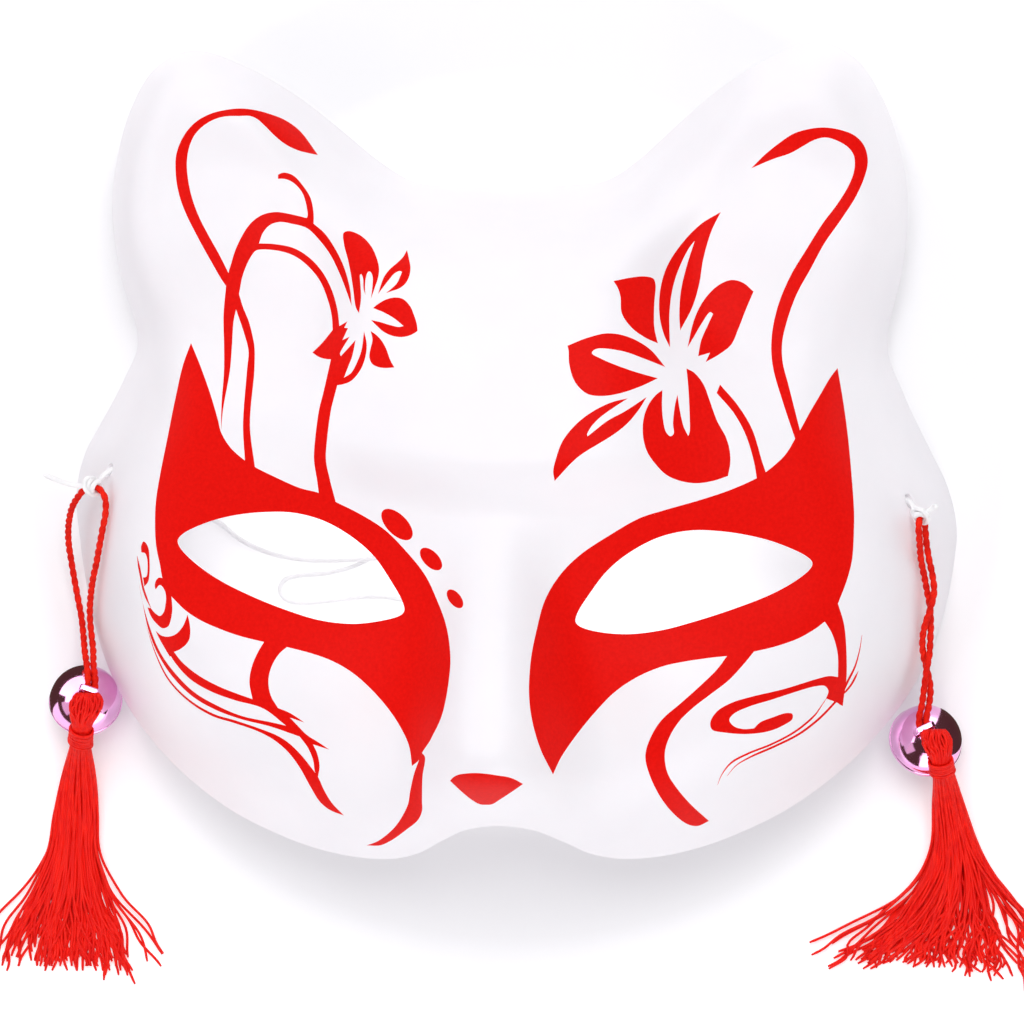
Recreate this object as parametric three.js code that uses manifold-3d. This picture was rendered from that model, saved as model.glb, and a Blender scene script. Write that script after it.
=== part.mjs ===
// A half-face fox mask of thin moulded plastic, lying on its back rim with its face up.
// Each side carries a red tassel on a doubled cord with a jingle bell, and a white elastic
// runs from side to side behind the face. Millimetres, +X to the right of the face as seen
// from the front, +Y towards the ears, +Z out of the face. The origin is on the table, under
// the middle of the mask's own outline.
import * as THREE from "three";
import { mergeVertices } from "three/addons/utils/BufferGeometryUtils.js";
import Module from "manifold-3d";

const wasm = await Module();
wasm.setup();

// Driving sizes
const WALL = 1.0; // the moulded sheet
const BROW_Z = 50; // face over the table at the brow
const BROW_Y = -25;
const BROW_FALL = [0.0026, 0.0034]; // how fast the face falls away sideways and up or down
const FOREHEAD_RISE = 4.5; // the forehead's step over the brow line
const FOREHEAD_HALF = [20, 44]; // where the step starts and ends fading, from the middle
const NOSE_RISE = 18; // bridge of the nose over the cheeks
const NOSE_HALF = [9, 14]; // half width at the bridge and at the tip
const EAR_Z = 37; // crest of an ear at its root
const EAR_FALL = 0.1; // how fast the crest falls towards the ear's tip
const EAR_DISH = { depth: 4, at: [54, 39], half: [25, 32], turn: -22 };
const ROLL_FACE = 26; // width over which the face rolls down to its rim
const ROLL_EAR = 13;
const ROLL_MUZZLE = 12;
const ROLL_POWER = 2.3;
const STRAP_HOLE_R = 1.6;
const CORD_R = 0.65; // red cord of the tassels
const ELASTIC_R = 0.5;
const BELL_R = 7.4;
const BELL_WALL = 0.5;
const GAP = 0.3; // air between two pieces that touch

// Soft swellings and hollows of the face: height, middle and reach, both sides alike.
const SWELLINGS = {
  noseTip: { rise: 2.5, at: [0, -61], reach: [9, 7] },
  muzzle: { rise: 7, at: [0, -68], reach: [26, 15] },
  cheek: { rise: 6, at: [46, -56], reach: [22, 20] },
  eyeSocket: { rise: -4, at: [40, -23], reach: [26, 14] },
};

// Steps of the faceted shapes
const RIM_STEPS = 84;
const RINGS = 10;
const RING_POWER = 1.3; // above 1 draws the rings towards the rim
const CORD_SIDES = 8;

// The rim from the middle of the top edge round the right side to the arch under the nose.
// Each point is distance from the middle line, height up the face, and height off the table.
const HALF_RIM = [
  [0, 54.8, 0],
  [14, 55.2, 0],
  [20.5, 56.2, 1.5],
  [27.2, 60.3, 5],
  [34.8, 66.6, 9],
  [42.9, 72.9, 13],
  [52.1, 78.2, 17],
  [62.5, 81.7, 20],
  [70.6, 78.4, 20.5],
  [75.9, 70.9, 18.5],
  [79.5, 61.1, 15],
  [81.2, 50.2, 12],
  [80.2, 37.2, 9],
  [77, 23, 6],
  [80.3, 13.5, 3.5],
  [85.5, 3.6, 0.8],
  [89.3, -4, 0],
  [91, -12, 0],
  [90.4, -20, 0],
  [88.6, -30, 1.5],
  [85.6, -40, 4.5],
  [80.7, -49.4, 9],
  [73.7, -58.2, 14],
  [65.6, -65.8, 18],
  [55.2, -72.8, 22],
  [43, -78.2, 25],
  [33, -80.9, 27],
  [24.1, -81.6, 29.5],
  [17.4, -80.2, 34],
  [12, -77.3, 39.5],
  [6.5, -74.6, 46],
  [0, -73.6, 49],
];

// One eye hole, as distance from the eyes' own middle line and height up the face.
const EYE_HOLE = [
  [62.8, -20.5],
  [61.8, -18.4],
  [56.5, -16.0],
  [51.0, -14.6],
  [45.0, -13.9],
  [39.0, -14.0],
  [33.0, -15.6],
  [27.5, -18.7],
  [23.0, -22.6],
  [19.6, -27.2],
  [17.1, -31.4],
  [17.2, -33.6],
  [21.0, -34.9],
  [27.0, -35.3],
  [33.5, -34.4],
  [40.0, -32.5],
  [47.0, -30.0],
  [54.0, -27.0],
  [59.5, -23.7],
];
const EYES_MIDDLE_X = -1.4;
const EYE_PRISM = [20, 90]; // heights that the eye holes are cut between
const STRAP_HOLE = [81.0, -7.0];
const STRAP_DRILL = { long: 8, sides: 12 };

// The thin sheet sits a little askew: its right side has slid down the face.
const LEAN = 0.045;
const LEAN_Y = -8;
const LEAN_SPAN = 30;

const lean = (x, y) => y - LEAN * x * Math.exp(-(((y - LEAN_Y) / LEAN_SPAN) ** 2));

const smooth = (t) => THREE.MathUtils.smoothstep(t, 0, 1);

const mix = THREE.MathUtils.lerp;

// A round swelling's share at a point, from 1 in its middle to 0 far off.
const swell = (u, y, { at, reach }) =>
  Math.exp(-(((u - at[0]) / reach[0]) ** 2) - ((y - at[1]) / reach[1]) ** 2);

// A closed smooth curve through points, as an array of [x, y, z].
function closedCurve(points, steps) {
  const curve = new THREE.CatmullRomCurve3(
    points.map(([x, y, z = 0]) => new THREE.Vector3(x, y, z)),
    true,
    "catmullrom",
    0.5,
  );
  return Array.from({ length: steps }, (_, i) => curve.getPoint(i / steps).toArray());
}

const leftHalf = HALF_RIM.slice(1, -1)
  .reverse()
  .map(([x, y, z]) => [-x, y, z]);
const RIM = closedCurve([...HALF_RIM, ...leftHalf], RIM_STEPS).map(([x, y, z]) => [
  x,
  y,
  Math.max(z, 0),
]);

// Distance to the rim and the rim's own height near a point. Each stretch of rim pulls by the
// inverse fourth power of its distance, so both stay smooth across the whole face.
function rimField(x, y) {
  let pull = 0;
  let lift = 0;
  RIM.forEach(([ax, ay, az], i) => {
    const [bx, by, bz] = RIM[(i + 1) % RIM.length];
    const length = Math.hypot(bx - ax, by - ay);
    const dx = (bx - ax) / length;
    const dy = (by - ay) / length;
    const start = (ax - x) * dx + (ay - y) * dy;
    const end = start + length;
    const off = Math.max(Math.abs((x - ax) * dy - (y - ay) * dx), 1e-3);
    const straight = end / (off ** 2 + end ** 2) - start / (off ** 2 + start ** 2);
    const turned = Math.atan2(end, off) - Math.atan2(start, off);
    const share = straight / (2 * off ** 2) + turned / (2 * off ** 3);
    pull += share;
    lift += (share * (az + bz)) / 2;
  });
  return { distance: Math.cbrt(Math.PI / 2 / pull), height: lift / pull };
}

// How far a point belongs to an ear, from 0 to 1.
const earShare = (u, y) => smooth((u - 18) / 34) * smooth(y / 44);

// The dished middle of an ear: a tilted superellipse with soft edges.
function earDish(u, y) {
  const { at, half, turn } = EAR_DISH;
  const from = new THREE.Vector2(u - at[0], y - at[1]);
  from.rotateAround(new THREE.Vector2(), THREE.MathUtils.degToRad(-turn));
  const power = 2.4;
  const out = (Math.abs(from.x / half[0]) ** power + Math.abs(from.y / half[1]) ** power) ** (1 / power);
  return 1 - smooth((out - 0.55) / 0.55);
}

// The face's form away from the rim.
function faceHeight(x, y) {
  const u = Math.abs(x);
  let z = BROW_Z - BROW_FALL[0] * u ** 2 - BROW_FALL[1] * (y - BROW_Y) ** 2;
  const browLine = -8 + 0.004 * u ** 2;
  const [full, none] = FOREHEAD_HALF;
  const forehead = smooth((y - browLine + 6) / 12) * (1 - smooth((u - full) / (none - full)));
  z += FOREHEAD_RISE * forehead;
  const earCrest = EAR_Z - EAR_FALL * (y - 20) - 0.06 * Math.max(u - 60, 0);
  z = mix(z, earCrest, earShare(u, y));
  z -= EAR_DISH.depth * earDish(u, y);
  const noseRise = NOSE_RISE * smooth((-4 - y) / 56) * smooth((y + 82) / 20);
  const noseHalf = mix(...NOSE_HALF, smooth((-20 - y) / 40));
  z += noseRise * Math.exp(-((u / noseHalf) ** 2.6));
  for (const form of Object.values(SWELLINGS)) z += form.rise * swell(u, y, form);
  return z;
}

// The width over which the face rolls down to its rim.
function rollWidth(u, y) {
  const side = mix(ROLL_FACE, ROLL_EAR, earShare(u, y)) - 5 * smooth((-25 - y) / 40);
  return mix(side, ROLL_MUZZLE, swell(u, y, { at: [0, -80], reach: [26, 17] }));
}

function maskHeight(x, y) {
  const rim = rimField(x, y);
  const inside = Math.min(rim.distance / rollWidth(Math.abs(x), y), 1);
  return mix(rim.height, faceHeight(x, y), 1 - (1 - inside) ** ROLL_POWER);
}

// The outward normal of the face, by differences over half a millimetre each way.
function maskNormal(x, y) {
  const step = 0.5;
  const slopeX = (maskHeight(x + step, y) - maskHeight(x - step, y)) / (2 * step);
  const slopeY = (maskHeight(x, y + step) - maskHeight(x, y - step)) / (2 * step);
  return new THREE.Vector3(-slopeX, -slopeY, 1).normalize();
}

// Solids

function geometryOf(vertices, triangles) {
  const geometry = new THREE.BufferGeometry();
  geometry.setAttribute("position", new THREE.Float32BufferAttribute(vertices.flat(), 3));
  geometry.setIndex(triangles.flat());
  return geometry;
}

// A closed geometry as a manifold-3d solid, turned right side out if need be.
function solidOf(geometry) {
  const bare = geometry.clone();
  bare.deleteAttribute("normal");
  bare.deleteAttribute("uv");
  const merged = mergeVertices(bare, 1e-4);
  const make = (triVerts) =>
    new wasm.Manifold(
      new wasm.Mesh({
        numProp: 3,
        vertProperties: new Float32Array(merged.attributes.position.array),
        triVerts,
      }),
    );
  const corners = Uint32Array.from(merged.index.array);
  const solid = make(corners);
  return solid.volume() < 0 ? make(corners.reverse()) : solid;
}

function geometryFrom(solid) {
  const mesh = solid.getMesh();
  const geometry = new THREE.BufferGeometry();
  geometry.setAttribute("position", new THREE.BufferAttribute(mesh.vertProperties, 3));
  geometry.setIndex(new THREE.BufferAttribute(mesh.triVerts, 1));
  return geometry;
}

// A straight prism of a plan outline between two heights.
function prism(outline, low, high) {
  const shape = new THREE.Shape(outline.map(([x, y]) => new THREE.Vector2(x, y)));
  const geometry = new THREE.ExtrudeGeometry(shape, { depth: high - low, bevelEnabled: false });
  return geometry.translate(0, 0, low);
}

// A round tube with closed ends through a list of points.
function tube(points, radius, steps) {
  const curve = new THREE.CatmullRomCurve3(points.map((p) => new THREE.Vector3(...p)));
  const section = new THREE.Shape(
    Array.from({ length: CORD_SIDES }, (_, i) => {
      const turn = (2 * Math.PI * i) / CORD_SIDES;
      return new THREE.Vector2(radius * Math.cos(turn), radius * Math.sin(turn));
    }),
  );
  return new THREE.ExtrudeGeometry(section, {
    steps,
    bevelEnabled: false,
    extrudePath: curve,
  });
}

// A closed skin over a row of rings with the same number of points.
function loft(rings) {
  const sides = rings[0].length;
  const vertices = rings.flat();
  const triangles = [];
  for (let r = 0; r + 1 < rings.length; r += 1) {
    for (let s = 0; s < sides; s += 1) {
      const a = r * sides + s;
      const b = r * sides + ((s + 1) % sides);
      triangles.push([a, b + sides, b], [a, a + sides, b + sides]);
    }
  }
  const last = (rings.length - 1) * sides;
  for (let s = 1; s + 1 < sides; s += 1) {
    triangles.push([0, s, s + 1], [last, last + s + 1, last + s]);
  }
  return geometryOf(vertices, triangles);
}

// A flattened bundle along a path: each station is x, y, z, half width and half thickness.
function bundle(stations, sides) {
  const rings = stations.map(([x, y, z, wide, thick], i) => {
    const [px, py] = stations[Math.max(i - 1, 0)];
    const [nx, ny] = stations[Math.min(i + 1, stations.length - 1)];
    const along = new THREE.Vector2(nx - px, ny - py).normalize();
    return Array.from({ length: sides }, (_, k) => {
      const turn = (2 * Math.PI * k) / sides;
      const out = wide * Math.cos(turn);
      return [x + out * along.y, y - out * along.x, z + thick * Math.sin(turn)];
    });
  });
  return loft(rings);
}

// The mask

// Rings of points from the rim in towards the bridge of the nose, denser near the rim.
function maskSkin(offset) {
  const middle = [0, -10];
  const rings = [];
  for (let r = 0; r < RINGS; r += 1) {
    const share = (r / RINGS) ** RING_POWER;
    rings.push(
      RIM.map(([x, y, z], i) => {
        if (r === 0) return rimPoint(i, x, y, z, offset);
        return skinPoint(mix(x, middle[0], share), mix(y, middle[1], share), offset);
      }),
    );
  }
  return { rings, middle: skinPoint(...middle, offset) };
}

// A point of the face, moved in by offset along the normal.
function skinPoint(x, y, offset) {
  const normal = maskNormal(x, y);
  const px = x - normal.x * offset;
  const py = y - normal.y * offset;
  return [px, lean(px, py), maskHeight(x, y) - normal.z * offset];
}

// A point of the rim, whose edge is flat and faces the table.
function rimPoint(i, x, y, z, offset) {
  const [ax, ay] = RIM[(i + RIM.length - 1) % RIM.length];
  const [bx, by] = RIM[(i + 1) % RIM.length];
  const length = Math.hypot(bx - ax, by - ay);
  const px = x + ((by - ay) / length) * offset;
  const py = y - ((bx - ax) / length) * offset;
  return [px, lean(px, py), z];
}

function maskShell() {
  const outer = maskSkin(0);
  const inner = maskSkin(WALL);
  const count = RIM.length;
  const vertices = [...outer.rings.flat(), outer.middle, ...inner.rings.flat(), inner.middle];
  const middle = RINGS * count;
  const under = middle + 1;
  const triangles = [];
  const both = (a, b, c) => triangles.push([a, c, b], [a + under, b + under, c + under]);
  for (let s = 0; s < count; s += 1) {
    const t = (s + 1) % count;
    for (let r = 0; r + 1 < RINGS; r += 1) {
      const row = r * count;
      const next = row + count;
      both(row + s, row + t, next + t);
      both(row + s, next + t, next + s);
    }
    both(middle - count + s, middle - count + t, middle);
    triangles.push([s, t + under, s + under], [s, t, t + under]);
  }
  return geometryOf(vertices, triangles);
}

function eyeHole(side) {
  const outline = closedCurve(EYE_HOLE, 2 * EYE_HOLE.length).map(([u, y]) => {
    const x = EYES_MIDDLE_X + side * u;
    return [x, lean(x, y)];
  });
  return prism(outline, ...EYE_PRISM);
}

// The middle of a strap hole on the face, and the way out of it.
function strapHole(side) {
  const x = side * STRAP_HOLE[0];
  const y = STRAP_HOLE[1];
  const point = new THREE.Vector3(x, lean(x, y), maskHeight(x, y));
  return { point, out: maskNormal(x, y) };
}

function strapHoleTool(side) {
  const { point, out } = strapHole(side);
  const { long, sides } = STRAP_DRILL;
  const tool = new THREE.CylinderGeometry(STRAP_HOLE_R, STRAP_HOLE_R, long, sides);
  const turn = new THREE.Quaternion().setFromUnitVectors(new THREE.Vector3(0, 1, 0), out);
  return tool.applyQuaternion(turn).translate(...point.toArray());
}

function mask() {
  const tools = [eyeHole(1), eyeHole(-1), strapHoleTool(1), strapHoleTool(-1)];
  const cut = tools.reduce((solid, tool) => solid.subtract(solidOf(tool)), solidOf(maskShell()));
  return geometryFrom(cut);
}

// Bells. Each has its own axis from its middle to the top of its dome. Its strip eye is bent a
// little off that axis.

const BELLS = {
  left: {
    middle: [-88.1, -50.7, 7.4],
    axis: [0.08, 0.42, 0.9],
    slotAlong: [1, 0.05, 0],
    eye: [0.26, 0.267, 0.928],
    eyeAlong: [0.96, -0.28, 0],
  },
  right: {
    middle: [84.2, -59.4, 7.4],
    axis: [0.22, 0.42, 0.88],
    slotAlong: [1, 0.11, 0],
    eye: [-0.04, 0.32, 0.946],
    eyeAlong: [0.89, 0.45, 0],
  },
};
const BELL_SIDES = 16;
const SEAM_R = BELL_R + 0.15;
const SEAM_HALF = [0.2, 0.4]; // half the seam's height at its crest and at its foot
const SLOT_REACH = 6.6; // from the axis to a slot's round end
const SLOT_WIDE = 1.1;
const SLOT_END_R = 1.1;
const SLOT_TOP = -1.2; // the slots stop this far below the seam
const PETAL_FLAT = 0.08; // how far each petal is pressed in between two slots, as a share
const EYE_STRIP = 0.5;
const EYE_WIDE = 1.3;
const EYE_HALF = 2.3;
const EYE_TALL = 2.7;
const EYE_CORNER = 0.9;

// The sphere of a bell as a profile from pole to pole, with the rolled seam if it is wanted.
function bellProfile(radius, quarter, seam) {
  const points = Array.from({ length: 2 * quarter + 1 }, (_, i) => {
    const turn = (Math.PI / 2) * (i / quarter - 1);
    return new THREE.Vector2(radius * Math.cos(turn), radius * Math.sin(turn));
  });
  if (seam) {
    const [crest, foot] = SEAM_HALF;
    const rolled = [-foot, -crest, crest, foot].map(
      (height) => new THREE.Vector2(Math.abs(height) === foot ? radius : SEAM_R, height),
    );
    points.splice(quarter, 1, ...rolled);
  }
  points[0].x = 0;
  points.at(-1).x = 0;
  return points;
}

// The four petals below the seam are pressed flatter between the slots.
function pressPetals(geometry) {
  const places = geometry.attributes.position;
  for (let i = 0; i < places.count; i += 1) {
    const [x, y, z] = [places.getX(i), places.getY(i), places.getZ(i)];
    const below = Math.min(1, Math.max(0, -z / (BELL_R / 2)));
    const pressed = 1 - PETAL_FLAT * below * Math.abs(Math.sin(2 * Math.atan2(y, x)));
    places.setXYZ(i, x * pressed, y * pressed, z * pressed);
  }
  return geometry;
}

// A hollow bell about the Z axis, its dome upwards, with two crossed slots below.
function bellBody() {
  const shell = (radius, quarter, seam) => {
    const turned = new THREE.LatheGeometry(bellProfile(radius, quarter, seam), BELL_SIDES);
    return solidOf(pressPetals(turned.rotateX(Math.PI / 2)));
  };
  const outer = shell(BELL_R, 6, true);
  const inner = shell(BELL_R - BELL_WALL, 4, false);
  const depth = BELL_R;
  const middle = SLOT_TOP - depth / 2;
  const tools = [0, Math.PI / 2].flatMap((turn) => {
    const slot = new THREE.BoxGeometry(2 * SLOT_REACH, SLOT_WIDE, depth);
    const ends = [-SLOT_REACH, SLOT_REACH].map((x) =>
      new THREE.CylinderGeometry(SLOT_END_R, SLOT_END_R, depth, 6)
        .rotateX(Math.PI / 2)
        .translate(x, 0, 0),
    );
    return [slot, ...ends].map((tool) => tool.translate(0, 0, middle).rotateZ(turn));
  });
  return tools.reduce((solid, tool) => solid.subtract(solidOf(tool)), outer.subtract(inner));
}

// The strip eye on top of a bell: a flat arch along X.
function bellEye() {
  const foot = Math.sqrt(BELL_R ** 2 - EYE_HALF ** 2) + GAP;
  const top = BELL_R + EYE_TALL;
  const within = EYE_HALF - EYE_STRIP;
  const arch = new THREE.Shape();
  arch.moveTo(-EYE_HALF, foot);
  arch.lineTo(-EYE_HALF, top - EYE_CORNER);
  arch.quadraticCurveTo(-EYE_HALF, top, -EYE_HALF + EYE_CORNER, top);
  arch.lineTo(EYE_HALF - EYE_CORNER, top);
  arch.quadraticCurveTo(EYE_HALF, top, EYE_HALF, top - EYE_CORNER);
  arch.lineTo(EYE_HALF, foot);
  arch.lineTo(within, foot);
  arch.lineTo(within, top - EYE_STRIP);
  arch.lineTo(-within, top - EYE_STRIP);
  arch.lineTo(-within, foot);
  const strip = { depth: EYE_WIDE, bevelEnabled: false, curveSegments: 2 };
  return new THREE.ExtrudeGeometry(arch, strip).translate(0, 0, -EYE_WIDE / 2).rotateX(Math.PI / 2);
}

// A bell's part, turned so that its Z axis runs along an axis and its X axis near a direction.
function onBell(part, middle, axis, near) {
  const up = new THREE.Vector3(...axis).normalize();
  const across = up.clone().cross(new THREE.Vector3(...near)).normalize();
  const along = across.clone().cross(up);
  part.setRotationFromMatrix(new THREE.Matrix4().makeBasis(along, across, up));
  part.position.set(...middle);
  return part;
}

// Tassels: the head lies on the bell, the neck is bound, and the threads fan out on the table.
// Each station is x, y, z, half width and half thickness.

const TASSEL_STATIONS = {
  left: [
    [-86.1, -49.7, 16.6, 1.2, 1.1],
    [-86.2, -50.5, 17.0, 2.9, 2.0],
    [-86.5, -51.9, 17.0, 3.5, 2.2],
    [-87.0, -53.6, 16.5, 2.9, 2.0],
    [-87.5, -55.4, 15.7, 2.2, 1.7],
    [-88.1, -57.5, 13.8, 2.1, 1.6],
    [-88.8, -60.0, 10.6, 2.4, 1.6],
    [-90.0, -66.0, 5.7, 3.8, 1.6],
    [-91.0, -74.0, 2.9, 5.0, 1.5],
    [-91.8, -82.0, 1.7, 5.2, 1.3],
    [-92.6, -91.0, 1.4, 8.2, 1.2],
    [-93.2, -99.0, 1.2, 12.2, 1.0],
    [-93.2, -107.0, 1.0, 15.2, 0.8],
  ],
  right: [
    [85.9, -57.5, 16.6, 1.2, 1.1],
    [86.0, -58.3, 17.0, 2.7, 2.0],
    [86.3, -59.4, 17.1, 3.2, 2.2],
    [86.6, -60.7, 16.9, 2.8, 2.1],
    [86.9, -62.2, 16.5, 2.2, 1.7],
    [87.2, -64.0, 15.2, 2.1, 1.6],
    [87.7, -66.2, 12.5, 2.4, 1.6],
    [88.6, -72.0, 6.9, 3.5, 1.6],
    [90.0, -81.2, 2.9, 5.4, 1.5],
    [90.3, -88.0, 1.8, 8.5, 1.3],
    [89.2, -95.0, 1.4, 14.0, 1.2],
    [87.0, -101.5, 1.2, 20.5, 1.0],
    [84.8, -107.0, 1.0, 25.0, 0.8],
  ],
};
const BOUND_STATIONS = [4, 6]; // the binding runs round the neck between these stations
const BINDING_THICK = 0.6;
const THREAD_SIDES = 12;

// A station between two others.
const between = (a, b, share) => a.map((value, i) => mix(value, b[i], share));

// The binding: a short sleeve round the neck of a tassel.
function binding(stations) {
  const [first, last] = BOUND_STATIONS;
  const start = between(stations[first], stations[first + 1], 0.35);
  const end = between(stations[last - 1], stations[last], 0.65);
  const grow = ([x, y, z, wide, high], by) => [x, y, z, wide + by, high + by];
  const bulged = between(start, end, 0.5);
  const sleeve = (by) => [start, bulged, end].map((station) => grow(station, by));
  const outer = solidOf(bundle(sleeve(GAP + BINDING_THICK), THREAD_SIDES));
  const bore = [-0.2, 0.5, 1.2].map((share) => grow(between(start, end, share), GAP));
  return geometryFrom(outer.subtract(solidOf(bundle(bore, THREAD_SIDES))));
}

// Cords: the tassel's cord is one length doubled through the knot of the elastic.

const TASSEL_CORDS = {
  left: [
    [-86.7, -49.2, 15.6],
    [-86.4, -47.9, 15.2],
    [-86.4, -45.9, 14.4],
    [-86.9, -43.3, 12.7],
    [-87.8, -40.4, 9.9],
    [-88.5, -37.2, 7.3],
    [-89.2, -33.7, 5.3],
    [-90.1, -29.8, 4.2],
    [-90.8, -25.7, 4.5],
    [-91.2, -21.9, 5.8],
    [-91.3, -18.5, 8.2],
    [-90.9, -15.6, 11.1],
    [-90.1, -13.0, 14.2],
    [-88.9, -10.6, 17.3],
    [-87.1, -8.5, 20.4],
    [-85.5, -7.1, 22.0],
    [-84.2, -6.6, 22.4],
    [-83.0, -6.8, 22.8],
    [-82.0, -7.5, 23.2],
    [-81.2, -9.1, 23.3],
    [-81.2, -11.8, 22.9],
    [-82.1, -15.4, 21.5],
    [-83.1, -18.9, 19.5],
    [-84.1, -22.2, 17.2],
    [-85.2, -25.3, 14.7],
    [-86.1, -28.3, 12.0],
    [-86.8, -31.5, 9.4],
    [-87.0, -34.3, 7.9],
    [-86.7, -36.9, 8.1],
    [-86.1, -40.1, 9.7],
    [-85.6, -43.2, 12.3],
    [-85.0, -45.6, 13.9],
    [-84.9, -47.9, 15.0],
    [-85.2, -49.2, 15.5],
  ],
  right: [
    [85.0, -57.1, 15.7],
    [84.5, -56.1, 15.4],
    [84.3, -54.4, 14.6],
    [84.9, -51.6, 12.6],
    [85.2, -48.4, 11.2],
    [84.6, -45.0, 11.0],
    [83.8, -41.8, 12.0],
    [83.6, -38.4, 13.5],
    [84.2, -35.2, 14.7],
    [85.2, -32.2, 15.8],
    [85.9, -29.0, 16.3],
    [85.6, -25.6, 16.9],
    [84.9, -22.4, 18.1],
    [84.4, -19.2, 19.0],
    [84.1, -15.8, 19.4],
    [83.9, -14.2, 20.0],
    [83.6, -13.3, 21.3],
    [83.2, -13.3, 22.8],
    [82.9, -14.3, 24.1],
    [82.7, -15.9, 24.6],
    [82.8, -17.5, 24.1],
    [83.0, -20.0, 21.9],
    [83.3, -22.7, 19.6],
    [83.9, -25.5, 17.4],
    [84.5, -28.6, 15.3],
    [85.1, -31.8, 13.9],
    [85.3, -35.0, 13.1],
    [85.2, -38.2, 12.9],
    [85.0, -41.4, 12.9],
    [84.4, -44.8, 12.8],
    [83.9, -48.4, 12.7],
    [83.4, -51.8, 13.7],
    [82.8, -54.4, 14.7],
    [82.9, -56.2, 15.3],
    [83.5, -57.3, 15.6],
  ],
};
const CORD_STEPS = 34;

// The head elastic runs from knot to knot through both strap holes and lies slack on the table
// under the face.
const ELASTIC = [
  [-82.8, -5.4, 21.5],
  [-81.3, -3.7, 19.4],
  [-80.3, -3.1, 18.1],
  [-78.2, -3.6, 15.8],
  [-75.6, -5.8, 12.2],
  [-73.4, -8.0, 8.2],
  [-70.6, -10.2, 4.2],
  [-67.0, -11.8, 1.6],
  [-61.4, -14.0, 0.7],
  [-56.8, -17.6, 0.7],
  [-50.5, -20.5, 0.7],
  [-44.3, -21.8, 0.7],
  [-38.0, -22.1, 0.9],
  [-30.0, -21.8, 2.1],
  [-22.0, -20.8, 0.9],
  [-14.0, -20.2, 0.7],
  [-5.0, -22.0, 0.7],
  [-0.6, -26.4, 0.7],
  [-3.0, -31.4, 0.7],
  [-10.0, -33.0, 0.7],
  [-19.0, -31.2, 0.7],
  [-28.0, -29.6, 0.7],
  [-38.0, -30.4, 0.7],
  [-44.6, -30.8, 0.7],
  [-47.6, -29.8, 0.7],
  [-48.5, -27.9, 0.7],
  [-47.4, -26.0, 0.7],
  [-44.6, -25.2, 0.7],
  [-38.0, -24.6, 0.7],
  [-31.0, -22.4, 0.7],
  [-24.0, -17.6, 0.7],
  [-12.0, -11.8, 0.7],
  [4.0, -7.8, 0.7],
  [22.0, -5.4, 0.7],
  [40.0, -5.4, 0.7],
  [55.0, -8.6, 0.7],
  [65.4, -12.4, 1.2],
  [71.4, -13.4, 4.4],
  [74.4, -12.8, 9.0],
  [76.6, -11.4, 13.2],
  [78.3, -10.4, 15.9],
  [80.3, -10.2, 17.9],
  [81.2, -10.9, 19.3],
  [82.2, -12.3, 21.8],
];
const ELASTIC_STEPS = 58;


// The knots in the elastic outside the strap holes. Each is tied round the top of the tassel
// cord, which passes through it, and has a tag end.
const KNOTS = {
  left: { middle: [-84.0, -6.7, 22.5], along: [0.95, 0, 0.3] },
  right: { middle: [83.1, -13.7, 23.2], along: [-0.2, -0.55, 0.8] },
};
const KNOT_HALF = [1.9, 1.9, 1.7]; // across the cord both ways, and along it
const KNOT_GAP = 0.15; // between a knot and the cord in it
const TAG_R = 0.4;
const TAG_STEPS = 4;
const TAGS = {
  left: [
    [-85.2, -6.5, 23.0],
    [-88.2, -6.2, 22.7],
    [-91.4, -5.2, 20.8],
    [-94.4, -4.2, 17.8],
  ],
  right: [
    [83.9, -13.0, 23.9],
    [85.0, -12.3, 24.0],
    [85.9, -11.8, 24.4],
    [86.2, -11.7, 25.4],
  ],
};

function knot(side) {
  const { middle, along } = KNOTS[side];
  const way = new THREE.Vector3(...along).normalize();
  const turn = new THREE.Quaternion().setFromUnitVectors(new THREE.Vector3(0, 0, 1), way);
  const ball = new THREE.IcosahedronGeometry(1, 1)
    .scale(...KNOT_HALF)
    .applyQuaternion(turn)
    .translate(...middle);
  const tag = solidOf(tube(TAGS[side], TAG_R, TAG_STEPS));
  const cord = solidOf(tube(TASSEL_CORDS[side], CORD_R + KNOT_GAP, CORD_STEPS));
  return geometryFrom(solidOf(ball).add(tag).subtract(cord));
}

function mesh(name, geometry, material) {
  const made = new THREE.Mesh(geometry, material);
  made.name = name;
  return made;
}

const PLASTIC = new THREE.MeshStandardMaterial({ color: 0xf4f1f6, roughness: 0.45 });
const BELL_METAL = new THREE.MeshStandardMaterial({
  color: 0xe28fc4,
  roughness: 0.12,
  metalness: 1,
});
const RED_CORD = new THREE.MeshStandardMaterial({ color: 0xd3130d, roughness: 0.6 });
const RED_THREAD = new THREE.MeshStandardMaterial({ color: 0xe01a12, roughness: 0.55 });
const ELASTIC_WHITE = new THREE.MeshStandardMaterial({ color: 0xf6f6f8, roughness: 0.7 });

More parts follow.
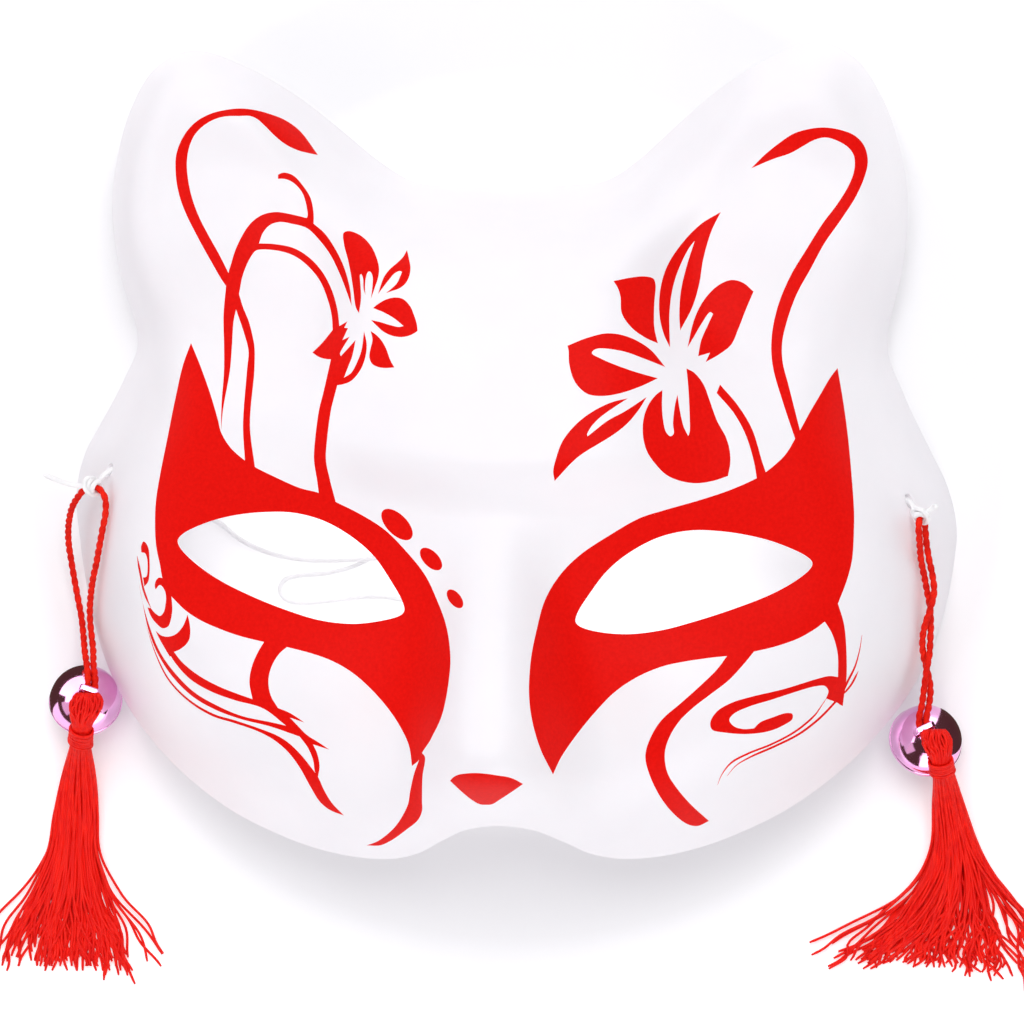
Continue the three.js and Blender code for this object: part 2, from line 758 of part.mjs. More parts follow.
const root = new THREE.Group();
root.add(mesh("mask_shell", mask(), PLASTIC));
for (const side of ["left", "right"]) {
  const stations = TASSEL_STATIONS[side];
  const { middle, axis, slotAlong, eye, eyeAlong } = BELLS[side];
  const bell = mesh(`${side}_bell`, geometryFrom(bellBody()), BELL_METAL);
  root.add(onBell(bell, middle, axis, slotAlong));
  root.add(onBell(mesh(`${side}_bell_eye`, bellEye(), BELL_METAL), middle, eye, eyeAlong));
  root.add(mesh(`${side}_tassel_threads`, bundle(stations, THREAD_SIDES), RED_THREAD));
  root.add(mesh(`${side}_tassel_binding`, binding(stations), RED_THREAD));
  root.add(mesh(`${side}_tassel_cord`, tube(TASSEL_CORDS[side], CORD_R, CORD_STEPS), RED_CORD));
  root.add(mesh(`${side}_elastic_knot`, knot(side), ELASTIC_WHITE));
}
root.add(mesh("head_elastic", tube(ELASTIC, ELASTIC_R, ELASTIC_STEPS), ELASTIC_WHITE));

export default root;
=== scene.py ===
"""A half-face fox mask of thin moulded plastic, lying on its back rim with its face up.

Red ornament is printed on the white sheet. Each side carries a red tassel on a doubled twisted
cord with a pink jingle bell, and a thin white elastic runs from side to side behind the face.
The form of the face is worked out in millimetres, as on a drawing, and everything else is in
metres. +X is to the right of the face as seen from the front, +Y is towards the ears and +Z
is out of the face.
"""
import math
import random

import bpy
import numpy as np
from mathutils import Matrix, Vector
from mathutils.geometry import delaunay_2d_cdt
from mathutils.kdtree import KDTree


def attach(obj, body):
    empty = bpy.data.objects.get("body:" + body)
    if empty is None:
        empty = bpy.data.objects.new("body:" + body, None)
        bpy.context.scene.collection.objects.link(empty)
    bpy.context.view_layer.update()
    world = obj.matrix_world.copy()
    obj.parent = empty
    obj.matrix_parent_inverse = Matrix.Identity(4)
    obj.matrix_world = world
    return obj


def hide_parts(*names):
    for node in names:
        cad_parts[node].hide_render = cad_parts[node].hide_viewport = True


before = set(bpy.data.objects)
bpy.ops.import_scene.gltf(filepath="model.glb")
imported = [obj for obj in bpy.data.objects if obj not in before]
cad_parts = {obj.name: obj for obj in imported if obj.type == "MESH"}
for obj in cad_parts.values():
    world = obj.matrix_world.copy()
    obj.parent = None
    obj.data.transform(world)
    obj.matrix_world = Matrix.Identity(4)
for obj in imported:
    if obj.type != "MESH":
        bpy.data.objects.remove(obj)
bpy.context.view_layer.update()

MM = 0.001

# Camera: 0.9 m above the table, leaning 4 degrees towards +X
PHOTO_SIDE = 1024  # pixels
FOCAL_PIXELS = 4360
SENSOR_MM = 36
CAMERA_DISTANCE = 0.9
CAMERA_TILT = math.radians(4.0)
CAMERA_ROLL = math.radians(-0.35)
CAMERA_TARGET = np.array([-0.0003, -0.0123, 0.0])


def unit(vector):
    return vector / np.linalg.norm(vector)


def units(rows):
    return rows / np.maximum(np.linalg.norm(rows, axis=1), 1e-9)[:, None]


def circling(turns, across, over):
    """Directions at angles round a circle between two axes."""
    return np.cos(turns) * across + np.sin(turns) * over


def turned(x, y, angle):
    """Two parts of a place in a plane, turned about its origin."""
    c, s = math.cos(angle), math.sin(angle)
    return c * x - s * y, s * x + c * y


def placed(name, data):
    made = bpy.data.objects.new(name, data)
    bpy.context.scene.collection.objects.link(made)
    return made


def camera_axes():
    """The camera's right, up and back directions."""
    back = unit(np.array([math.tan(CAMERA_TILT), 0.0, 1.0]))
    right = unit(np.cross([0.0, 1.0, 0.0], back))
    right, up = turned(right, np.cross(back, right), -CAMERA_ROLL)
    return right, up, back


CAMERA_RIGHT, CAMERA_UP, CAMERA_BACK = camera_axes()
CAMERA_EYE = CAMERA_TARGET + CAMERA_BACK * CAMERA_DISTANCE


def make_camera():
    data = bpy.data.cameras.new("camera")
    data.sensor_width = SENSOR_MM
    data.lens = FOCAL_PIXELS / PHOTO_SIDE * SENSOR_MM
    camera = placed("camera", data)
    turn = Matrix(np.array([CAMERA_RIGHT, CAMERA_UP, CAMERA_BACK]).T.tolist())
    camera.matrix_world = Matrix.LocRotScale(Vector(CAMERA_EYE), turn.to_quaternion(), None)
    bpy.context.scene.camera = camera


def sight(pixels, height):
    """Where the camera's rays through pixels of the photo meet level planes, in metres."""
    across = (pixels[:, :1] - PHOTO_SIDE / 2) / FOCAL_PIXELS
    down = (pixels[:, 1:] - PHOTO_SIDE / 2) / FOCAL_PIXELS
    ray = across * CAMERA_RIGHT - down * CAMERA_UP - CAMERA_BACK
    reach = (height - CAMERA_EYE[2]) / ray[:, 2]
    return CAMERA_EYE + ray * reach[:, None]


# Curves and tubes


def spline(points, step, closed=False, power=0.5):
    """A Catmull-Rom curve through points of any dimension, sampled about every step.

    power 0.5 makes it centripetal and 0 uniform."""
    points = np.asarray(points, float)
    if closed:
        padded = points[np.arange(-1, len(points) + 2) % len(points)]
    else:
        padded = np.vstack([2 * points[0] - points[1], points, 2 * points[-1] - points[-2]])
    made = []
    for a, b, c, d in zip(padded, padded[1:], padded[2:], padded[3:]):
        gaps = [max(np.linalg.norm(q - p), 1e-9) ** power for p, q in ((a, b), (b, c), (c, d))]
        leave = ((b - a) / gaps[0] - (c - a) / (gaps[0] + gaps[1]) + (c - b) / gaps[1]) * gaps[1]
        arrive = ((c - b) / gaps[1] - (d - b) / (gaps[1] + gaps[2]) + (d - c) / gaps[2]) * gaps[1]
        steps = max(1, math.ceil(np.linalg.norm(c - b) / step))
        t = np.arange(steps)[:, None] / steps
        made.append(
            b * (2 * t**3 - 3 * t**2 + 1)
            + leave * (t**3 - 2 * t**2 + t)
            + c * (3 * t**2 - 2 * t**3)
            + arrive * (t**3 - t**2)
        )
    if not closed:
        made.append(points[-1:])
    return np.vstack(made)


def lengths_along(path):
    return np.concatenate([[0.0], np.cumsum(np.linalg.norm(np.diff(path, axis=0), axis=1))])


def evenly(path, step):
    """The same path with points an even distance apart, close to step."""
    along = lengths_along(path)
    count = max(2, round(along[-1] / step) + 1)
    wanted = np.linspace(0, along[-1], count)
    return np.stack([np.interp(wanted, along, path[:, k]) for k in range(path.shape[1])], 1)


def carried_frames(path):
    """Two directions across a path at each point, carried along it without twist."""
    tangents = units(np.gradient(path, axis=0))
    side = np.cross(tangents[0], [0.0, 0.0, 1.0])
    if np.linalg.norm(side) < 0.1:
        side = np.cross(tangents[0], [0.0, 1.0, 0.0])
    sides = [unit(side)]
    for tangent in tangents[1:]:
        sides.append(unit(sides[-1] - tangent * np.dot(sides[-1], tangent)))
    sides = np.array(sides)
    return sides, np.cross(tangents, sides)


class Skin:
    """Vertices, faces and UVs gathered from several tubes and strips, for one mesh."""

    def __init__(self):
        self.vertices, self.faces, self.uvs = [], [], []
        self.count = 0

    def add(self, vertices, faces, uvs):
        self.vertices.append(vertices)
        self.faces.extend([tuple(v + self.count for v in face) for face in faces])
        self.uvs.extend(uvs)
        self.count += len(vertices)

    def tube(self, path, radius, sides, twist=0.0, caps=True):
        """A closed tube. radius is a number, one value for each point, or a function of the
        angles round the tube in its own turning section; twist is in radians a metre."""
        across, over = carried_frames(path)
        along = lengths_along(path)
        angles = 2 * math.pi * np.arange(sides) / sides
        reach = radius(angles) if callable(radius) else np.reshape(radius, (-1, 1))
        reach = np.broadcast_to(reach, (len(path), sides))[:, :, None]
        turns = (angles[None, :] + twist * along[:, None])[:, :, None]
        rings = path[:, None, :] + reach * circling(turns, across[:, None, :], over[:, None, :])
        vertices = rings.reshape(-1, 3)
        faces, uvs = [], []
        for r in range(len(path) - 1):
            low, high = along[r], along[r + 1]
            for s in range(sides):
                t = (s + 1) % sides
                faces.append((r * sides + s, r * sides + t, (r + 1) * sides + t, (r + 1) * sides + s))
                near, far = s / sides, (s + 1) / sides
                uvs.extend([(near, low), (far, low), (far, high), (near, high)])
        if caps:
            last = (len(path) - 1) * sides
            faces.append(tuple(reversed(range(sides))))
            uvs.extend([(0.0, 0.0)] * sides)
            faces.append(tuple(range(last, last + sides)))
            uvs.extend([(0.0, along[-1])] * sides)
        self.add(vertices, faces, uvs)


def mesh_piece(name, vertices, faces, *materials):
    mesh = bpy.data.meshes.new(name)
    mesh.from_pydata(vertices, [], faces)
    for material in materials:
        mesh.materials.append(material)
    return placed(name, mesh)


def skin_piece(name, skin, material):
    """A smooth shaded piece from a Skin."""
    piece = mesh_piece(name, np.vstack(skin.vertices).tolist(), skin.faces, material)
    layer = piece.data.uv_layers.new(name="UVMap")
    layer.data.foreach_set("uv", np.array(skin.uvs, np.float32).ravel())
    piece.data.shade_smooth()
    return piece


def settle(piece, slot, *nodes):
    """The piece stands for CAD nodes, which it hides, and rides on the one body. slot is not used."""
    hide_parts(*nodes)
    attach(piece, "root")
    return piece


# The form of the face, in millimetres

WALL = 1.0  # the moulded sheet
BROW_Z = 50.0
BROW_Y = -25.0
BROW_FALL = (0.0026, 0.0034)
FOREHEAD_RISE = 4.5
FOREHEAD_HALF = (20.0, 44.0)
BROW_LINE = (-8.0, 0.004)  # where the forehead begins, and how that line bends up to the sides
BROW_SOFT = 12.0
NOSE_RISE = 18.0
NOSE_HALF = (9.0, 14.0)
NOSE_POWER = 2.6
# Where down the face the nose begins, widens and ends, and over what length
NOSE_BEGINS = (-4, 56)
NOSE_WIDENS = (-20, 40)
NOSE_ENDS = (-82, 20)
EAR_Z = 37.0
EAR_FALL = (0.06, 0.1)  # outwards and upwards
EAR_FALL_FROM = (60, 20)
EAR_OUT = (18, 34)  # where an ear begins outwards and upwards, and over what length
EAR_UP = (0, 44)
EAR_DISH = {
    "depth": 4.0, "at": (54.0, 39.0), "half": (25.0, 32.0), "turn": math.radians(-22),
    "power": 2.4, "soft_from": 0.55,
}
ROLL_FACE = 26.0
ROLL_EAR = 13.0
ROLL_MUZZLE = 12.0
ROLL_POWER = 2.3
CHEEK_TIGHTER = 5  # how much narrower the roll is at the cheeks
CHEEK_FROM = (-25, 40)
MUZZLE = ((0, -80), (26, 17))  # middle and reach
STRAP_HOLE_R = 1.6
STRAP_HOLE = (81.0, -7.0)
EYES_MIDDLE_X = -1.4
LEAN = 0.045
LEAN_Y = -8.0
LEAN_SPAN = 30.0

# Soft swellings and hollows: height, middle and reach, both sides alike
SWELLINGS = {
    "nose_tip": (2.5, (0, -61), (9, 7)),
    "muzzle": (7.0, (0, -68), (26, 15)),
    "cheek": (6.0, (46, -56), (22, 20)),
    "eye_socket": (-4.0, (40, -23), (26, 14)),
}

# The rim from the middle of the top edge round the right side to the arch under the nose:
# distance from the middle line, height up the face, height off the table
HALF_RIM = [
    (0, 54.8, 0), (14, 55.2, 0), (20.5, 56.2, 1.5), (27.2, 60.3, 5), (34.8, 66.6, 9), (42.9, 72.9, 13),
    (52.1, 78.2, 17), (62.5, 81.7, 20), (70.6, 78.4, 20.5), (75.9, 70.9, 18.5), (79.5, 61.1, 15),
    (81.2, 50.2, 12), (80.2, 37.2, 9), (77, 23, 6), (80.3, 13.5, 3.5), (85.5, 3.6, 0.8), (89.3, -4, 0),
    (91, -12, 0), (90.4, -20, 0), (88.6, -30, 1.5), (85.6, -40, 4.5), (80.7, -49.4, 9), (73.7, -58.2, 14),
    (65.6, -65.8, 18), (55.2, -72.8, 22), (43, -78.2, 25), (33, -80.9, 27), (24.1, -81.6, 29.5),
    (17.4, -80.2, 34), (12, -77.3, 39.5), (6.5, -74.6, 46), (0, -73.6, 49),
]

# One eye hole, from the eyes' own middle line
EYE_HOLE = [
    (62.8, -20.5), (61.8, -18.4), (56.5, -16), (51, -14.6), (45, -13.9), (39, -14), (33, -15.6),
    (27.5, -18.7), (23, -22.6), (19.6, -27.2), (17.1, -31.4), (17.2, -33.6), (21, -34.9), (27, -35.3),
    (33.5, -34.4), (40, -32.5), (47, -30), (54, -27), (59.5, -23.7),
]

# How far each eye hole stands above that row at a distance from the middle line, since the
# sheet isn't quite the same on both sides
EYE_SHIFT = {
    -1: ((22, 28, 37, 46, 56), (1.05, 0.6, 0.1, -0.15, -0.3)),
    1: ((17, 58), (-0.45, -0.6)),
}

# Fineness of the sheet's mesh, in millimetres
RIM_STEP = 0.8
HOLE_STEP = 0.5
PRINT_STEP = 0.4
GRID = 1.15
RIM_RINGS = (0.35, 0.8, 1.4, 2.2)
NORMAL_STEP = 0.5
STEEP = 0.8  # the form is read at least this far in from the rim
AT_RIM = 0.05  # what lies this near the rim is on it
EYES_WITHIN = 70  # the strap holes are farther out
GRID_CLEAR = 0.45  # share of the grid kept clear of the outlines

# How a pixel's place on the face is found: from a height, by a share of the miss each round
SIGHT_START = 35.0
SIGHT_SHARE = 0.6
SIGHT_ROUNDS = 22


def rim_outline():
    left = [(-x, y, z) for x, y, z in reversed(HALF_RIM[1:-1])]
    outline = spline(HALF_RIM + left, RIM_STEP, closed=True, power=0)
    outline[:, 2] = np.maximum(outline[:, 2], 0)
    return outline


RIM = rim_outline()


def smooth(t):
    t = np.clip(t, 0, 1)
    return t * t * (3 - 2 * t)


def mix(a, b, share):
    return a + (b - a) * share


def swell(u, y, at, reach):
    return np.exp(-(((u - at[0]) / reach[0]) ** 2) - ((y - at[1]) / reach[1]) ** 2)


def rim_field(x, y):
    """Distance to the rim, and the rim's own height near each point.

    Each stretch of rim pulls by the inverse fourth power of its distance."""
    pull = np.zeros_like(x)
    lift = np.zeros_like(x)
    for a, b in zip(RIM, np.roll(RIM, -1, 0)):
        length = math.hypot(b[0] - a[0], b[1] - a[1])
        dx, dy = (b[0] - a[0]) / length, (b[1] - a[1]) / length
        start = (a[0] - x) * dx + (a[1] - y) * dy
        end = start + length
        off = np.maximum(np.abs((x - a[0]) * dy - (y - a[1]) * dx), 1e-3)
        straight = end / (off**2 + end**2) - start / (off**2 + start**2)
        swept = np.arctan2(end, off) - np.arctan2(start, off)
        share = straight / (2 * off**2) + swept / (2 * off**3)
        pull += share
        lift += share * (a[2] + b[2]) / 2
    return np.cbrt(math.pi / 2 / pull), lift / pull


def up_from(reach, value):
    """A smooth rise from 0 to 1: where it begins, and over what length."""
    return smooth((value - reach[0]) / reach[1])


def down_from(reach, value):
    return smooth((reach[0] - value) / reach[1])


def ear_share(u, y):
    return up_from(EAR_OUT, u) * up_from(EAR_UP, y)


def ear_dish(u, y):
    """The dished middle of an ear: a tilted superellipse with soft edges."""
    across, up = turned(u - EAR_DISH["at"][0], y - EAR_DISH["at"][1], -EAR_DISH["turn"])
    across = np.abs(across) / EAR_DISH["half"][0]
    up = np.abs(up) / EAR_DISH["half"][1]
    out = (across**EAR_DISH["power"] + up**EAR_DISH["power"]) ** (1 / EAR_DISH["power"])
    return 1 - smooth((out - EAR_DISH["soft_from"]) / EAR_DISH["soft_from"])


def face_height(u, y):
    """The face's form away from the rim."""
    z = BROW_Z - BROW_FALL[0] * u**2 - BROW_FALL[1] * (y - BROW_Y) ** 2
    above_brow = y - BROW_LINE[0] - BROW_LINE[1] * u**2
    full, none = FOREHEAD_HALF
    rise = FOREHEAD_RISE * smooth(above_brow / BROW_SOFT + 0.5)
    z += rise * (1 - smooth((u - full) / (none - full)))
    out = np.maximum(u - EAR_FALL_FROM[0], 0)
    crest = EAR_Z - EAR_FALL[0] * out - EAR_FALL[1] * (y - EAR_FALL_FROM[1])
    z = mix(z, crest, ear_share(u, y))
    z -= EAR_DISH["depth"] * ear_dish(u, y)
    nose_rise = NOSE_RISE * down_from(NOSE_BEGINS, y) * up_from(NOSE_ENDS, y)
    nose_half = mix(*NOSE_HALF, down_from(NOSE_WIDENS, y))
    z += nose_rise * np.exp(-((u / nose_half) ** NOSE_POWER))
    for rise, at, reach in SWELLINGS.values():
        z += rise * swell(u, y, at, reach)
    return z


def roll_width(u, y):
    """The width over which the face rolls down to its rim."""
    side = mix(ROLL_FACE, ROLL_EAR, ear_share(u, y)) - CHEEK_TIGHTER * down_from(CHEEK_FROM, y)
    return mix(side, ROLL_MUZZLE, swell(u, y, *MUZZLE))


def mask_height(x, y):
    distance, low = rim_field(x, y)
    u = np.abs(x)
    inside = np.minimum(distance / roll_width(u, y), 1)
    return mix(low, face_height(u, y), 1 - (1 - inside) ** ROLL_POWER)


def lean(x, y):
    """Where a height up the face comes to lie on the thin sheet, which sits a little askew."""
    return y - LEAN * x * np.exp(-(((y - LEAN_Y) / LEAN_SPAN) ** 2))


def unlean(x, y):
    straight = y.copy()
    for _ in range(4):
        straight = y + LEAN * x * np.exp(-(((straight - LEAN_Y) / LEAN_SPAN) ** 2))
    return straight


def mask_normal(x, y):
    """The outward normal of the leaning face."""
    step = NORMAL_STEP
    slope_x = (mask_height(x + step, y) - mask_height(x - step, y)) / (2 * step)
    slope_y = (mask_height(x, y + step) - mask_height(x, y - step)) / (2 * step)
    shear = (lean(x + step, y) - lean(x - step, y)) / (2 * step)
    stretch = (lean(x, y + step) - lean(x, y - step)) / (2 * step)
    along_x = np.stack([np.ones_like(x), shear, slope_x], 1)
    along_y = np.stack([np.zeros_like(x), stretch, slope_y], 1)
    return units(np.cross(along_x, along_y))


def on_face(pixels):
    """The plan of the face, before the lean, under pixels of the photo."""
    pixels = np.asarray(pixels, float)
    height = np.full(len(pixels), SIGHT_START)
    for _ in range(SIGHT_ROUNDS):
        seen = sight(pixels, height * MM) / MM
        plan_y = unlean(seen[:, 0], seen[:, 1])
        height += SIGHT_SHARE * (mask_height(seen[:, 0], plan_y) - height)
    return np.stack([seen[:, 0], plan_y], 1)


def eye_outline(side):
    points = [(EYES_MIDDLE_X + side * u, y + np.interp(u, *EYE_SHIFT[side])) for u, y in EYE_HOLE]
    return spline(points, HOLE_STEP, closed=True, power=0)


def strap_hole_centre(side):
    """The middle of a strap hole on the unleaned face, and the way out of it."""
    x, y = np.array([side * STRAP_HOLE[0]]), np.array([STRAP_HOLE[1]])
    return np.array([x[0], y[0], mask_height(x, y)[0]]), mask_normal(x, y)[0]


def strap_outline(side):
    centre, out = strap_hole_centre(side)
    across = unit(np.cross(out, [0.0, 1.0, 0.0]))
    up = np.cross(out, across)
    turns = 2 * math.pi * np.arange(28)[:, None] / 28
    return (centre + STRAP_HOLE_R * circling(turns, across, up))[:, :2]


